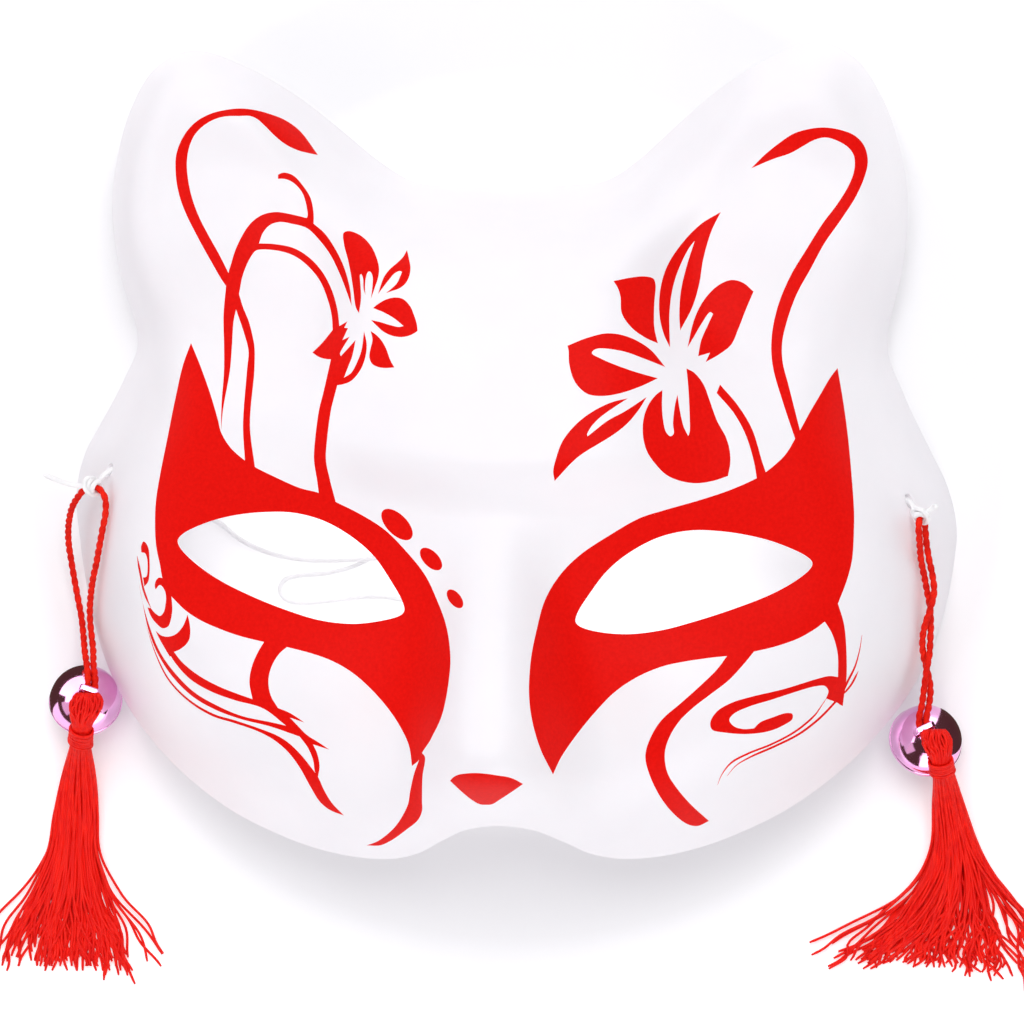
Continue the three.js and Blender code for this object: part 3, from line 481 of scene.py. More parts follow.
# The red print, as outlines in pixels of the photo: x and y in turn. Each outline closes, and is
# a row of smooth runs that meet in corners. A run starts where the one before it ends, or at its
# own first point after an empty run, which stands for a straight edge.
OUTLINES = {
    "left_eye": [
        [183, 365, 175, 400, 167, 440, 160, 475, 156, 500, 155, 520, 156, 545, 160, 565, 163, 580,
        171.5, 596.6], [185, 610, 200, 620, 220, 629, 240, 636, 264, 642], [], [287, 647, 310, 653,
        330, 660, 350, 671, 370, 688, 390, 711, 402, 730, 409, 746, 412, 766], [419, 760, 422, 753,
        430, 741], [442, 715, 450, 670, 450, 650, 446, 625, 437, 600, 425, 575, 405, 550, 385, 530,
        360, 514, 336, 502, 319, 493, 300, 488, 275, 477, 255, 467, 243, 459, 230, 447, 221, 432, 218, 420,
        210, 393, 200, 365, 191, 343],
    ],
    "right_eye": [
        [843.3, 402, 848, 437, 852, 480, 854, 510, 854, 530, 852, 560, 847, 580, 838, 603.6], [844, 624,
        846.4, 650, 846.4, 679, 844, 696, 842.8, 706], [838, 703, 838, 676.8, 837.5, 652.8, 832, 633.6,
        824.8, 621.6], [815, 629, 798.4, 638.4, 774.4, 646.8, 754, 651.6], [], [727, 656, 712, 657.6,
        688, 661, 664, 666, 640, 675.6, 616, 691, 594.4, 713, 575, 737, 560.8, 758, 553, 774.5],
        [540.4, 749, 532, 720, 529, 694, 530.8, 660, 536.8, 629, 545, 600, 560, 575, 580, 555, 610, 535,
        640, 518, 665, 510, 700, 500, 730, 490, 757, 478, 766, 472, 785, 455, 795.5, 438, 800, 430.4,
        810, 412, 820, 395, 830, 378, 837.5, 368],
    ],
    "left_stem": [
        [], [226, 286, 223.5, 316, 224, 345, 224, 370, 221.5, 405, 221, 432], [223, 410, 230, 370, 232, 345,
        233.5, 322, 236, 309.5], [239, 294],
    ],
    "left_second_stem": [
        [], [236, 309.5, 239, 318, 244, 333, 248.5, 351, 247, 370, 243, 425, 245, 462], [], [255, 468,
        250, 425, 254.4, 370, 254.5, 347, 253, 338, 249, 322, 243, 307, 239, 294],
    ],
    "left_flower_stem": [
        [], [330.8, 359.4, 329.5, 365.5, 326, 381, 322.7, 395, 319, 410, 315, 440, 314, 460, 317, 480,
        319, 495], [], [336, 503, 330, 480, 326, 460, 327, 440, 331, 410, 333.4, 400, 337.3, 385.2],
    ],
    "left_loop": [
        [300, 131, 285, 120, 270, 114, 255, 110, 240, 108.5, 225, 110, 210, 114, 197, 121, 187, 131,
        180, 143, 176, 156, 175.5, 170, 177, 185, 181, 201, 187, 216, 195, 232, 203, 247, 212, 263,
        220, 277, 226, 286], [], [229, 274, 220, 256, 210, 238, 200, 219, 193, 201, 189, 185, 187, 169,
        187, 160, 189, 148, 194, 136, 202, 127, 213, 120, 225, 116.5, 240, 116, 250, 116, 257, 119,
        265, 126, 275, 136, 285, 144, 297, 150, 308, 153, 318, 155],
    ],
    "left_arches": [
        [], [229, 270.5, 237, 246, 250, 224, 262, 215, 275.7, 212, 289, 213.8, 306.6, 218], [307.6, 216,
        306, 203.7, 301.8, 192, 293, 182.5, 285, 179, 278, 178.8], [], [278, 174.7, 283.4, 172.6,
        293, 175.3, 302.7, 185.4, 310.5, 198, 313.6, 213.4, 313.6, 223.7], [324, 232.7, 333.7, 246.3,
        343.4, 265.6, 350, 288.8, 351.7, 306], [347, 292.7, 339.5, 273.3, 329.8, 254, 318, 238.5,
        306.6, 228, 293, 224, 279.5, 222, 270, 225, 263, 232.7, 259, 243.4], [273.7, 244, 293, 247.8,
        308.5, 257, 322, 271.4, 331.7, 289.8, 337.5, 310, 339.4, 326], [], [332.6, 330, 331.7, 316,
        328, 300.4, 320, 281, 308.5, 266.6, 295, 256.3, 279.5, 251, 260, 249.6, 255.4, 251, 249.6, 259,
        242.8, 275.3, 239, 294], [226, 286],
    ],
    "left_top_petal": [
        [343.5, 233, 348, 231, 356, 233, 364, 238, 371, 246, 376, 256, 379, 268, 378, 278, 375, 287,
        371, 298.5], [372.5, 285, 372.5, 276, 370, 271.5, 368, 272, 366, 277, 365, 287, 365.3, 295],
        [363.5, 288, 363, 278, 361, 274, 360, 275, 360.5, 285, 361, 298, 359, 313], [356, 308, 353, 288,
        351, 275, 348, 260, 344.5, 247, 343, 238],
    ],
    "left_small_petal": [
        [409, 259, 410.5, 268, 409, 277, 405, 284, 399, 288.5, 392, 291, 386, 293], [391, 289, 397, 283,
        402, 272], [400, 271, 395, 273, 388, 281, 378, 294], [384, 277, 390, 269, 397, 263, 403, 257,
        407, 250],
    ],
    "left_right_petal": [
        [378, 304, 386, 299.5, 395, 297.5, 403, 299, 410, 306, 414, 315, 417, 325, 417.5, 331], [412, 334.5,
        403, 337, 393, 336, 384, 332, 377, 326, 371, 320], [380, 322, 390, 325, 399, 327, 403.5, 326],
        [395, 319, 385, 313, 373, 308],
    ],
    "left_low_petal": [
        [372.4, 339.5, 370.2, 350, 369.3, 357, 372, 363.7, 378, 367, 386, 368, 394.3, 367.4], [390, 359.4,
        386.7, 350, 382.3, 341.6, 376.3, 335, 370.6, 331],
    ],
    "left_stem_petal": [
        [], [332.6, 330, 322, 343, 312.4, 352.5], [319, 357, 326, 359, 330.8, 359.4], [], [337.3, 385.2,
        342.5, 384.4, 351, 381, 360, 370.7, 365, 358.5, 366.7, 344.7, 364, 331], [361.5, 350, 357.6, 361,
        351, 373, 344, 377.6], [348.5, 366, 352, 357, 355.6, 340], [341, 356], [340, 354, 349.6, 336.7],
        [342.5, 340], [348, 328.2], [344.2, 327.8], [347.5, 321.3], [339.4, 326],
    ],
    "left_strap": [
        [], [264, 642, 258, 652, 252, 666, 249.4, 682, 252.4, 699], [238, 694, 218, 686, 198, 675, 182, 662,
        174, 652], [], [167, 650, 176, 664, 190, 679, 210, 691, 234, 700, 263, 708.4, 286, 725.6],
        [299.6, 736.6], [308, 748, 313, 760, 315, 772, 318, 777], [319.6, 766, 317, 753, 313, 744.4],
        [329.4, 749.6], [318, 742, 307, 735, 297, 725, 290, 717.6], [304.6, 722.6], [290, 713, 278, 708],
        [271, 696, 268.4, 682, 271, 668, 279, 654, 287, 647],
    ],
    "left_thin_whisker": [
        [142, 600, 150, 628, 160, 652, 174, 672, 194, 692, 218, 706, 242, 716, 270, 722, 286, 725.6], [],
        [299.6, 736.6, 270, 726.4, 242, 719.4, 216, 710, 192, 696, 172, 676, 159, 656, 149, 632, 139, 584],
    ],
    "left_low_whisker": [
        [149, 634, 158, 658, 170, 680, 190, 700, 214, 714, 234, 720, 258, 728, 278, 736, 290, 744, 302, 756,
        310, 766, 318, 777, 324, 790, 332, 803, 344, 815.6], [330, 810, 320, 802, 310, 786, 300, 768,
        288, 752, 274, 740, 258, 731.4, 234, 723, 212, 716, 188, 701, 168, 680, 156, 656, 142.6, 614],
    ],
    "left_tusk": [
        [], [422, 753, 425, 757, 422.6, 776, 422, 800, 422, 811, 418, 820, 406, 830, 392, 840, 380, 845.4,
        366.6, 845.4], [378, 841, 392, 830, 400, 820, 408, 804, 410, 792, 414, 774, 419, 760],
    ],
    "left_temple_curl": [
        [], [141.2, 552, 141.2, 546, 143.5, 541.3, 146.2, 543.5, 148.6, 549, 149.5, 559, 149.5, 573,
        148, 582, 144.4, 586.5], [], [143, 577.5, 146.2, 576.8, 147.5, 570.5, 147, 558, 144.8, 553,
        142, 552.5],
    ],
    "left_temple_crescent": [
        [], [151, 608.3, 154.7, 612.8, 160, 616, 163.7, 612, 165.5, 604, 166, 596.6, 164.6, 590.3,
        162, 586.3, 159.7, 585, 155.6, 589.4], [154.7, 585.8, 156, 580.4, 158.8, 577.7, 164, 578.2], [],
        [171.4, 596.6, 172.3, 609, 171, 619, 168.2, 626.3, 162.8, 628.3, 156.5, 623.6, 151, 616.4,
        147.5, 607.4],
    ],
    "left_temple_wing": [
        [161, 635.3, 167.3, 636.7, 175.4, 634.4, 181.7, 628, 185.3, 621, 187.4, 614.6], [189.4, 622,
        190.3, 631, 189.4, 639, 186.2, 644.3, 180, 649.3, 174, 652], [], [170, 657, 164.6, 648, 159, 638,
        155.6, 630.8],
    ],
    "right_top_petal": [
        [711.5, 231, 703.3, 259, 699.4, 283, 692.8, 306, 680.2, 330.5], [679.3, 315, 680.7, 292, 685.8, 269,
        694.7, 240.7], [689.3, 247.7, 680, 266, 673, 287, 669.5, 313, 670, 347.5], [663.7, 334, 659.5, 315,
        660.2, 290, 667.2, 266, 682.3, 243, 701, 224, 720.8, 212],
    ],
    "right_upper_left_petal": [
        [631, 277.5, 645, 276.4, 653.2, 278.5, 655.5, 284, 654.3, 304, 654.3, 327, 657.8, 343.3],
        [645, 337.5, 631, 327, 621.7, 313, 620.5, 297, 618, 288.5, 613.5, 281],
    ],
    "right_left_petal": [
        [586.7, 338, 607.7, 333.3, 628.7, 337, 649.7, 349, 665.3, 367], [645, 359, 621.7, 351, 596, 349,
        591.8, 353, 600.7, 358.5, 628.7, 369.7, 657.8, 378.3], [640.3, 386.5, 619.3, 393.5, 600.7, 396,
        586.7, 393.5, 575, 382, 569.2, 364, 568.5, 350, 567.5, 345.7],
    ],
    "right_right_petal": [
        [694, 320, 703.3, 301, 717.3, 286, 731.3, 280, 743, 282.7, 753.5, 291.5], [745.3, 311, 738.3, 329,
        731.3, 344.5, 719.7, 354, 705.7, 362], [710, 352.7], [698.2, 356.2], [701, 341, 708, 324.7,
        713, 314], [710.3, 312, 701, 324.7, 692.8, 338.7, 687.5, 347.5],
    ],
    "right_bottom_petal": [
        [694, 372.5, 703.3, 384, 709.5, 400, 717, 420.6, 726, 437.4, 729.6, 450, 730.3, 462.6, 728, 476],
        [712.8, 481, 696, 483.2, 680.6, 481, 666.6, 475, 655.4, 464, 647, 451.4, 643, 436, 643.5, 419,
        648.4, 405, 655.4, 395.4, 662.4, 390], [662, 405, 663, 419, 666, 432, 670.5, 436.3, 673.6, 434,
        673, 423, 675, 405, 677.4, 394.7], [680, 411, 684, 427.6, 688.3, 436], [689.6, 432, 689.6, 415,
        688.3, 388, 686.5, 368.5],
    ],
    "right_lower_left_petal": [
        [553.2, 471, 556, 458.4, 562.3, 441.6, 572.8, 427.6, 585.4, 416.4, 599.4, 407.7, 613.4, 401.7,
        628, 398.3], [616, 406, 599.4, 418, 591, 427, 587, 434], [], [587.5, 436.4, 595, 430.4,
        607.8, 420.6, 624.6, 411.5, 646.7, 397], [638.6, 410, 627.4, 423.4, 613.4, 434.6, 596.6, 445,
        588.2, 450, 575.6, 459, 554.6, 481],
    ],
    "right_flower_stem": [
        [], [716.6, 393, 733.7, 413, 745.3, 434, 753.5, 460, 757, 480], [], [766, 473, 761.7, 460,
        752.3, 429.6, 738.3, 406, 720, 384.5],
    ],
    "right_vine": [
        [764, 155.5, 778, 144, 794.3, 133.3, 810.7, 128.7, 824.7, 127.5, 841, 130, 855, 135.7, 864.3, 146,
        867.8, 160, 865.5, 174, 856.2, 196, 841, 219.7, 824.7, 243, 810.7, 268.7, 796.7, 294.3, 787.3, 320,
        782.2, 343, 782.7, 362, 788.5, 385, 800, 430.4], [], [795.5, 440, 782.7, 401.7, 773.3, 369,
        771.2, 348, 773.3, 324.7, 780.3, 299, 792, 273, 806, 250, 822.3, 224, 838.7, 202, 850.3, 182,
        854.5, 168, 853.8, 155.5, 848, 147.3, 836.3, 140.3, 824.7, 137.5, 814.2, 140, 803.7, 145.7,
        790.8, 153, 773.3, 159, 751.2, 168.3],
    ],
    "right_stroke": [
        [], [727, 656, 716.8, 669.6, 700, 686, 681, 703, 661.6, 720, 650.8, 737, 645.3, 756, 649.6, 775,
        661.6, 799, 676, 816, 688, 824.4, 697.6, 826, 709, 821], [690.4, 804, 676, 787, 667.6, 773,
        664.7, 756, 667.6, 741.6, 678.4, 722.4, 692.8, 708, 709.6, 695, 729, 680, 743, 665, 754, 651.6],
    ],
    "right_spiral": [
        [829.6, 676, 817.6, 678.7, 784, 689, 750.4, 697, 731, 703, 716.8, 711.6, 710.3, 722.4, 712, 729.6,
        724, 732.5, 748, 734, 769.6, 731, 784, 725, 792.4, 719, 792.4, 714, 786.4, 713, 772, 717.6,
        760, 722.4, 754, 728.4], [743, 729, 733.6, 726, 729.3, 720, 733.6, 714, 748, 707, 772, 699.6,
        798.4, 691, 815, 686.4, 824.8, 686, 828.4, 691, 826, 698.4], [], [838, 703, 838, 677],
    ],
    "nose": [
        [453, 777.5, 458, 774.8, 465, 773.6, 475, 773, 488, 774, 500, 775.8, 508, 777, 516, 780, 523, 784],
        [513, 791, 500, 799.5, 492, 804.3, 486, 804.8, 480, 804.3, 472, 800, 462, 792, 450, 780.8],
    ],
}

# Thin strokes: the width in pixels, and x and y in turn along the middle
THIN_STROKES = {
    "left_temple_line": (2.0, [137.2, 556, 138.5, 564, 140.8, 576, 143, 587.6, 146.6, 598.4, 151,
        608.3]),
    "right_whisker": (2.0, [828, 696, 820, 708, 815, 715, 796, 731, 772, 744, 748, 753.6, 731, 763,
        721.6, 775, 717.5, 785]),
    "right_long_whisker": (2.2, [862, 635, 859.6, 650, 854.8, 667, 847.6, 681.6, 841.6, 693.6, 832,
        705.6, 817.6, 720, 798.4, 734.4, 774.4, 746.4, 750.4, 757, 736, 765.6, 727, 776]),
    "right_short_whisker": (2.0, [858.4, 671, 851, 685, 841.6, 696]),
}

# The dots over the left brow: middle, half length, half width, and turn in degrees
DOTS = {
    "upper_dot": ((397, 524.5), 19.8, 10.2, 45),
    "middle_dot": ((431, 559), 14.0, 7.6, 46),
    "lower_dot": ((455, 598.8), 11.0, 6.0, 52),
}


def outline_pixels(runs, step):
    """An outline of smooth runs as one closed row of points."""
    rows = []
    start = runs[-1][-2:]
    for run, following in zip(runs, runs[1:] + runs[:1]):
        if run:
            points = spline(np.reshape(start + run, (-1, 2)), step)
            rows.append(points[:-1] if following else points)
        start = run[-2:]
    return np.vstack(rows)


def stroke_pixels(width, points, step):
    """A thin stroke that comes to a point at both ends."""
    middle = spline(np.reshape(points, (-1, 2)), step)
    tangent = units(np.gradient(middle, axis=0))
    across = np.stack([-tangent[:, 1], tangent[:, 0]], 1)
    share = np.linspace(0, 1, len(middle))
    half = width / 2 * np.minimum(1, 4 * np.minimum(share, 1 - share) + 0.15)
    return np.vstack([middle + across * half[:, None], (middle - across * half[:, None])[::-1]])


def dot_pixels(middle, long, wide, turn):
    angles = np.radians(np.arange(0, 360, 6))
    away = turned(long * np.cos(angles), wide * np.sin(angles), math.radians(turn))
    return middle + np.stack(away, 1)


def print_outlines():
    """Every outline of the print as plan points of the face."""
    step = PRINT_STEP * MM * FOCAL_PIXELS / CAMERA_DISTANCE
    rows = [outline_pixels(runs, step) for runs in OUTLINES.values()]
    rows += [stroke_pixels(width, points, step) for width, points in THIN_STROKES.values()]
    rows += [dot_pixels(*dot) for dot in DOTS.values()]
    plan = on_face(np.vstack(rows))
    return np.split(plan, np.cumsum([len(row) for row in rows])[:-1])


# The moulded sheet with its print


def inside(points, outline):
    """Which points lie inside a closed plan outline, by counting crossings."""
    low, high = outline.min(0), outline.max(0)
    near = np.flatnonzero(((points >= low) & (points <= high)).all(1))
    x, y = points[near, 0], points[near, 1]
    odd = np.zeros(len(near), bool)
    for a, b in zip(outline, np.roll(outline, -1, 0)):
        if a[1] == b[1]:
            continue
        crosses = (a[1] > y) != (b[1] > y)
        odd ^= crosses & (x < (b[0] - a[0]) * (y - a[1]) / (b[1] - a[1]) + a[0])
    found = np.zeros(len(points), bool)
    found[near] = odd
    return found


def tree_of(points):
    tree = KDTree(len(points))
    for i, (x, y) in enumerate(points):
        tree.insert((x, y, 0), i)
    tree.balance()
    return tree


def rim_inward(outline):
    """The level direction into the sheet at each point of the rim, which runs clockwise."""
    along = np.roll(outline, -1, 0) - np.roll(outline, 1, 0)
    return units(np.stack([along[:, 1], -along[:, 0]], 1))


def sheet_plan(rim, holes, prints):
    """Plan points and triangles of the sheet, and which triangles are printed."""
    inward = rim_inward(rim)
    rings = [rim + inward * depth for depth in RIM_RINGS]
    loops = [rim, *holes, *prints]
    fixed = np.vstack([*loops, *rings])
    low, high = rim.min(0), rim.max(0)
    grid_x, grid_y = np.meshgrid(np.arange(low[0], high[0], GRID), np.arange(low[1], high[1], GRID))
    grid_x[::2] += GRID / 2
    grid = np.stack([grid_x.ravel(), grid_y.ravel()], 1)
    grid = grid[inside(grid, rim)]
    tree = tree_of(fixed)
    clear = [tree.find((x, y, 0))[2] > GRID * GRID_CLEAR for x, y in grid]
    points = np.vstack([fixed, grid[clear]])
    edges = []
    first = 0
    for loop in loops:
        count = len(loop)
        edges += [(first + i, first + (i + 1) % count) for i in range(count)]
        first += count
    made = delaunay_2d_cdt([Vector(p) for p in points], edges, [], 0, 1e-5, False)
    plan = np.array([tuple(v) for v in made[0]])
    triangles = np.array(made[2])
    centres = plan[triangles].mean(1)
    kept = inside(centres, rim)
    for hole in holes:
        kept &= ~inside(centres, hole)
    triangles, centres = triangles[kept], centres[kept]
    printed = np.zeros(len(centres), bool)
    for outline in prints:
        printed |= inside(centres, outline)
    used, triangles = np.unique(triangles, return_inverse=True)
    return plan[used], triangles.reshape(-1, 3), printed


def edge_loop_pairs(triangles):
    """Edges used by one triangle alone, in the direction that their triangle runs."""
    edges = np.vstack([triangles[:, [0, 1]], triangles[:, [1, 2]], triangles[:, [2, 0]]])
    keys = np.sort(edges, axis=1)
    _, where, counts = np.unique(keys, axis=0, return_index=True, return_counts=True)
    return edges[where[counts == 1]]


def mask_sheet(white, red):
    """The whole sheet: outer and inner skins, and the cut edge round the rim and the holes."""
    eyes = [eye_outline(side) for side in (-1, 1)]
    straps = [strap_outline(side) for side in (-1, 1)]
    rim = RIM[:, :2]
    plan, triangles, printed = sheet_plan(rim, [*eyes, *straps], print_outlines())

    # Triangles face out of the face
    a, b, c = (plan[triangles[:, k]] for k in range(3))
    ab, ac = b - a, c - a
    backward = ab[:, 0] * ac[:, 1] - ab[:, 1] * ac[:, 0] < 0
    triangles[backward] = triangles[backward][:, ::-1]

    x, y = plan.T
    height = mask_height(x, y)
    tree = tree_of(rim)
    inward = rim_inward(rim)
    nearest = [tree.find((px, py, 0)) for px, py in plan]
    which = np.array([found[1] for found in nearest])
    away = np.array([found[2] for found in nearest])
    step_in = inward[which] * np.maximum(STEEP - away, 0)[:, None]
    normal = mask_normal(x + step_in[:, 0], y + step_in[:, 1])

    outer = np.stack([x, y, height], 1)
    inner = outer - normal * WALL
    edge = edge_loop_pairs(triangles)
    border = np.unique(edge)
    at_rim = border[away[border] < AT_RIM]
    outer[at_rim, 2] = np.maximum(RIM[which[at_rim], 2], height[at_rim])
    inner[at_rim, :2] = plan[at_rim] + inward[which[at_rim]] * WALL
    inner[at_rim, 2] = outer[at_rim, 2]
    at_eye = border[(away[border] >= AT_RIM) & (np.abs(x[border]) < EYES_WITHIN)]
    inner[at_eye] = outer[at_eye] - [0, 0, 1] * (WALL / normal[at_eye, 2])[:, None]

    vertices = np.vstack([outer, inner])
    vertices[:, 1] = lean(vertices[:, 0], vertices[:, 1])
    count = len(plan)
    start, end = edge.T
    walls = np.stack([end, start, start + count, end + count], 1)
    faces = [*triangles.tolist(), *(triangles[:, ::-1] + count).tolist(), *walls.tolist()]

    piece = mesh_piece("mask", (vertices * MM).tolist(), faces, white, red)
    mesh = piece.data
    index = np.zeros(len(faces), np.int32)
    index[: len(triangles)] = printed
    mesh.polygons.foreach_set("material_index", index)
    mesh.shade_smooth()

    # The skins are shaded by the form itself, and the cut edges by their own direction
    edge_way = vertices[walls[:, 0]] - vertices[walls[:, 1]]
    edge_drop = vertices[walls[:, 2]] - vertices[walls[:, 1]]
    wall_normal = units(np.cross(edge_drop, edge_way))
    skin = normal[triangles.ravel()]
    under = -normal[triangles[:, ::-1].ravel()]
    normals = np.vstack([skin, under, np.repeat(wall_normal, 4, axis=0)])
    mesh.normals_split_custom_set(normals.tolist())
    return settle(piece, "mask_plastic", "mask_shell")


# Bells

BELL_R = 7.4 * MM
BELL_WALL = 0.5 * MM
SEAM_PROUD = 0.15 * MM
SEAM_HALF = 0.4 * MM
SEAM_CLEAR = SEAM_HALF * 1.05
# The seam's lip above its middle: height and how proud it is, as shares
SEAM_LIP = [(1.0, 0.0), (0.85, 0.62), (0.55, 0.95), (0.2, 1.0), (0.04, 0.8)]
SLOT_REACH = 6.6 * MM
SLOT_WIDE = 1.1 * MM
SLOT_END_R = 1.1 * MM
SLOT_TOP = -1.2 * MM
PETAL_FLAT = 0.08
EYE_STRIP = 0.5 * MM
EYE_WIDE = 1.3 * MM
EYE_HALF = 2.3 * MM
EYE_TALL = 2.7 * MM
EYE_CORNER = 0.9 * MM
BELL_SEGMENTS = 96
BELLS = {
    "left": {
        "middle": (-0.0881, -0.0507, 0.0074),
        "axis": (0.08, 0.42, 0.9),
        "slot_along": (1, 0.05, 0),
        "eye": (0.26, 0.267, 0.928),
        "eye_along": (0.96, -0.28, 0),
    },
    "right": {
        "middle": (0.0842, -0.0594, 0.0074),
        "axis": (0.22, 0.42, 0.88),
        "slot_along": (1, 0.11, 0),
        "eye": (-0.04, 0.32, 0.946),
        "eye_along": (0.89, 0.45, 0),
    },
}


def on_bell(side, axis, near):
    """The place of a bell's part whose Z axis runs along an axis and whose X axis is near another."""
    up = Vector(BELLS[side][axis]).normalized()
    across = up.cross(Vector(BELLS[side][near])).normalized()
    along = across.cross(up)
    turn = Matrix((along, across, up)).transposed()
    return Matrix.LocRotScale(Vector(BELLS[side]["middle"]), turn.to_quaternion(), None)


def lathe(profile, segments):
    """Vertices and faces of a profile of (radius, height) from pole to pole."""
    angles = 2 * math.pi * np.arange(segments) / segments
    vertices = [(0, 0, profile[0][1])]
    for radius, height in profile[1:-1]:
        vertices += [(radius * math.cos(a), radius * math.sin(a), height) for a in angles]
    vertices.append((0, 0, profile[-1][1]))
    last = len(vertices) - 1
    faces = []
    for s in range(segments):
        t = (s + 1) % segments
        faces.append((0, 1 + t, 1 + s))
        for r in range(len(profile) - 3):
            row = 1 + r * segments
            faces.append((row + s, row + t, row + segments + t, row + segments + s))
        row = 1 + (len(profile) - 3) * segments
        faces.append((row + s, row + t, last))
    return vertices, faces


def press_petals(vertices):
    """The four petals below the seam are pressed flatter between the slots."""
    places = np.array(vertices)
    below = np.clip(-places[:, 2] / (BELL_R / 2), 0, 1)
    turn = np.arctan2(places[:, 1], places[:, 0])
    return places * (1 - PETAL_FLAT * below * np.abs(np.sin(2 * turn)))[:, None]


def arc_profile(radius, steps, seam):
    turns = np.linspace(-math.pi / 2, math.pi / 2, steps)
    profile = [(radius * math.cos(t), radius * math.sin(t)) for t in turns]
    if seam:
        lip = [(-height, out) for height, out in SEAM_LIP] + SEAM_LIP[::-1]
        rolled = [(radius + SEAM_PROUD * out, SEAM_HALF * height) for height, out in lip]
        below = [p for p in profile if p[1] < -SEAM_CLEAR]
        above = [p for p in profile if p[1] > SEAM_CLEAR]
        profile = below + rolled + above
    return profile


def slot_tool(turn):
    """One slot with round ends, as a tall prism below the seam."""
    ends = []
    for way in (1, -1):
        opening = math.asin(SLOT_WIDE / 2 / SLOT_END_R)
        angles = np.linspace(-math.pi + opening, math.pi - opening, 20)
        ends += [(way * (SLOT_REACH + SLOT_END_R * math.cos(a)), way * SLOT_END_R * math.sin(a))
                 for a in angles]
    plan = [turned(x, y, turn) for x, y in ends]
    low, high = SLOT_TOP - BELL_R, SLOT_TOP
    count = len(plan)
    vertices = [(x, y, low) for x, y in plan] + [(x, y, high) for x, y in plan]
    faces = [tuple(reversed(range(count))), tuple(range(count, 2 * count))]
    faces += [(i, (i + 1) % count, count + (i + 1) % count, count + i) for i in range(count)]
    return mesh_piece("slot_tool", vertices, faces)


def bell_body(side, metal, inside):
    vertices, faces = lathe(arc_profile(BELL_R, 61, True), BELL_SEGMENTS)
    outer = mesh_piece(f"{side}_bell_body", press_petals(vertices), faces)
    vertices, faces = lathe(arc_profile(BELL_R - BELL_WALL, 41, False), BELL_SEGMENTS)
    tools = [mesh_piece("hollow_tool", press_petals(vertices), faces)]
    tools += [slot_tool(0), slot_tool(math.pi / 2)]
    for tool in tools:
        cut = outer.modifiers.new(tool.name, "BOOLEAN")
        cut.operation = "DIFFERENCE"
        cut.solver = "EXACT"
        cut.object = tool
    evaluated = outer.evaluated_get(bpy.context.evaluated_depsgraph_get())
    mesh = bpy.data.meshes.new_from_object(evaluated)
    for tool in tools:
        bpy.data.objects.remove(tool)
    outer.modifiers.clear()
    outer.data = mesh
    mesh.transform(on_bell(side, "axis", "slot_along"))
    mesh.shade_smooth()
    mesh.set_sharp_from_angle(angle=math.radians(40))
    mesh.materials.clear()
    mesh.materials.append(metal)
    mesh.materials.append(inside)
    middle = Vector(BELLS[side]["middle"])
    # Faces turned in towards the bell's middle take the second material, a near-black painted shade for its
    # hollow and slot walls
    for face in mesh.polygons:
        reach = (face.center - middle).length
        face.material_index = int(face.normal.dot(face.center - middle) < 0.5 * reach)
    return settle(outer, "bell_metal", f"{side}_bell")


def strip_section(angles):
    """The strip's section: a rectangle with rounded corners."""
    long = np.abs(np.cos(angles)) / (EYE_WIDE / 2)
    short = np.abs(np.sin(angles)) / (EYE_STRIP / 2)
    return (long**6 + short**6) ** (-1 / 6)


def strip_turn(path):
    """The angle from the carried frame's first direction to the strip's wide way, which is Y."""
    across, over = carried_frames(path)
    return -math.atan2(over[0][1], across[0][1])


def bell_eye(side, metal):
    half = EYE_HALF - EYE_STRIP / 2
    top = BELL_R + EYE_TALL - EYE_STRIP / 2
    foot = math.sqrt(BELL_R**2 - EYE_HALF**2) - 0.2 * MM
    corner = EYE_CORNER - EYE_STRIP / 2
    bends = np.linspace(0, math.pi / 2, 7)
    right = [(half - corner + corner * math.cos(a), top - corner + corner * math.sin(a)) for a in bends]
    arch = [(half, foot), *right, *[(-x, z) for x, z in reversed(right)], (-half, foot)]
    path = evenly(np.array([(x, 0.0, z) for x, z in arch]), 0.2 * MM)
    skin = Skin()
    skin.tube(path, lambda angles: strip_section(angles + strip_turn(path)), 24)
    piece = skin_piece(f"{side}_bell_loop", skin, metal)
    piece.data.transform(on_bell(side, "eye", "eye_along"))
    return settle(piece, "bell_metal", f"{side}_bell_eye")


# Cords

CORD_D = 1.3 * MM
ELASTIC_D = 1.0 * MM
CORD_LAY = 3.6 * MM  # length of one turn of the cord's strands
CORD_STRANDS = 2

# The routes of the cords and of the elastic's tag ends, in millimetres, laid along what the photo shows of
# them
LEFT_TASSEL_ROUTE = np.array([
    (-86.7, -49.2, 15.6), (-86.4, -47.9, 15.2), (-86.4, -45.9, 14.4), (-86.9, -43.3, 12.7),
    (-87.8, -40.4, 9.9), (-88.5, -37.2, 7.3), (-89.2, -33.7, 5.3), (-90.1, -29.8, 4.2), (-90.8, -25.7, 4.5),
    (-91.2, -21.9, 5.8), (-91.3, -18.5, 8.2), (-90.9, -15.6, 11.1), (-90.1, -13, 14.2),
    (-88.9, -10.6, 17.3), (-87.1, -8.5, 20.4), (-85.5, -7.1, 22), (-84.2, -6.6, 22.4), (-83, -6.8, 22.8),
    (-82, -7.5, 23.2), (-81.2, -9.1, 23.3), (-81.2, -11.8, 22.9), (-82.1, -15.4, 21.5),
    (-83.1, -18.9, 19.5), (-84.1, -22.2, 17.2), (-85.2, -25.3, 14.7), (-86.1, -28.3, 12),
    (-86.8, -31.5, 9.4), (-87, -34.3, 7.9), (-86.7, -36.9, 8.1), (-86.1, -40.1, 9.7), (-85.6, -43.2, 12.3),
    (-85, -45.6, 13.9), (-84.9, -47.9, 15), (-85.2, -49.2, 15.5),
]) / 1000
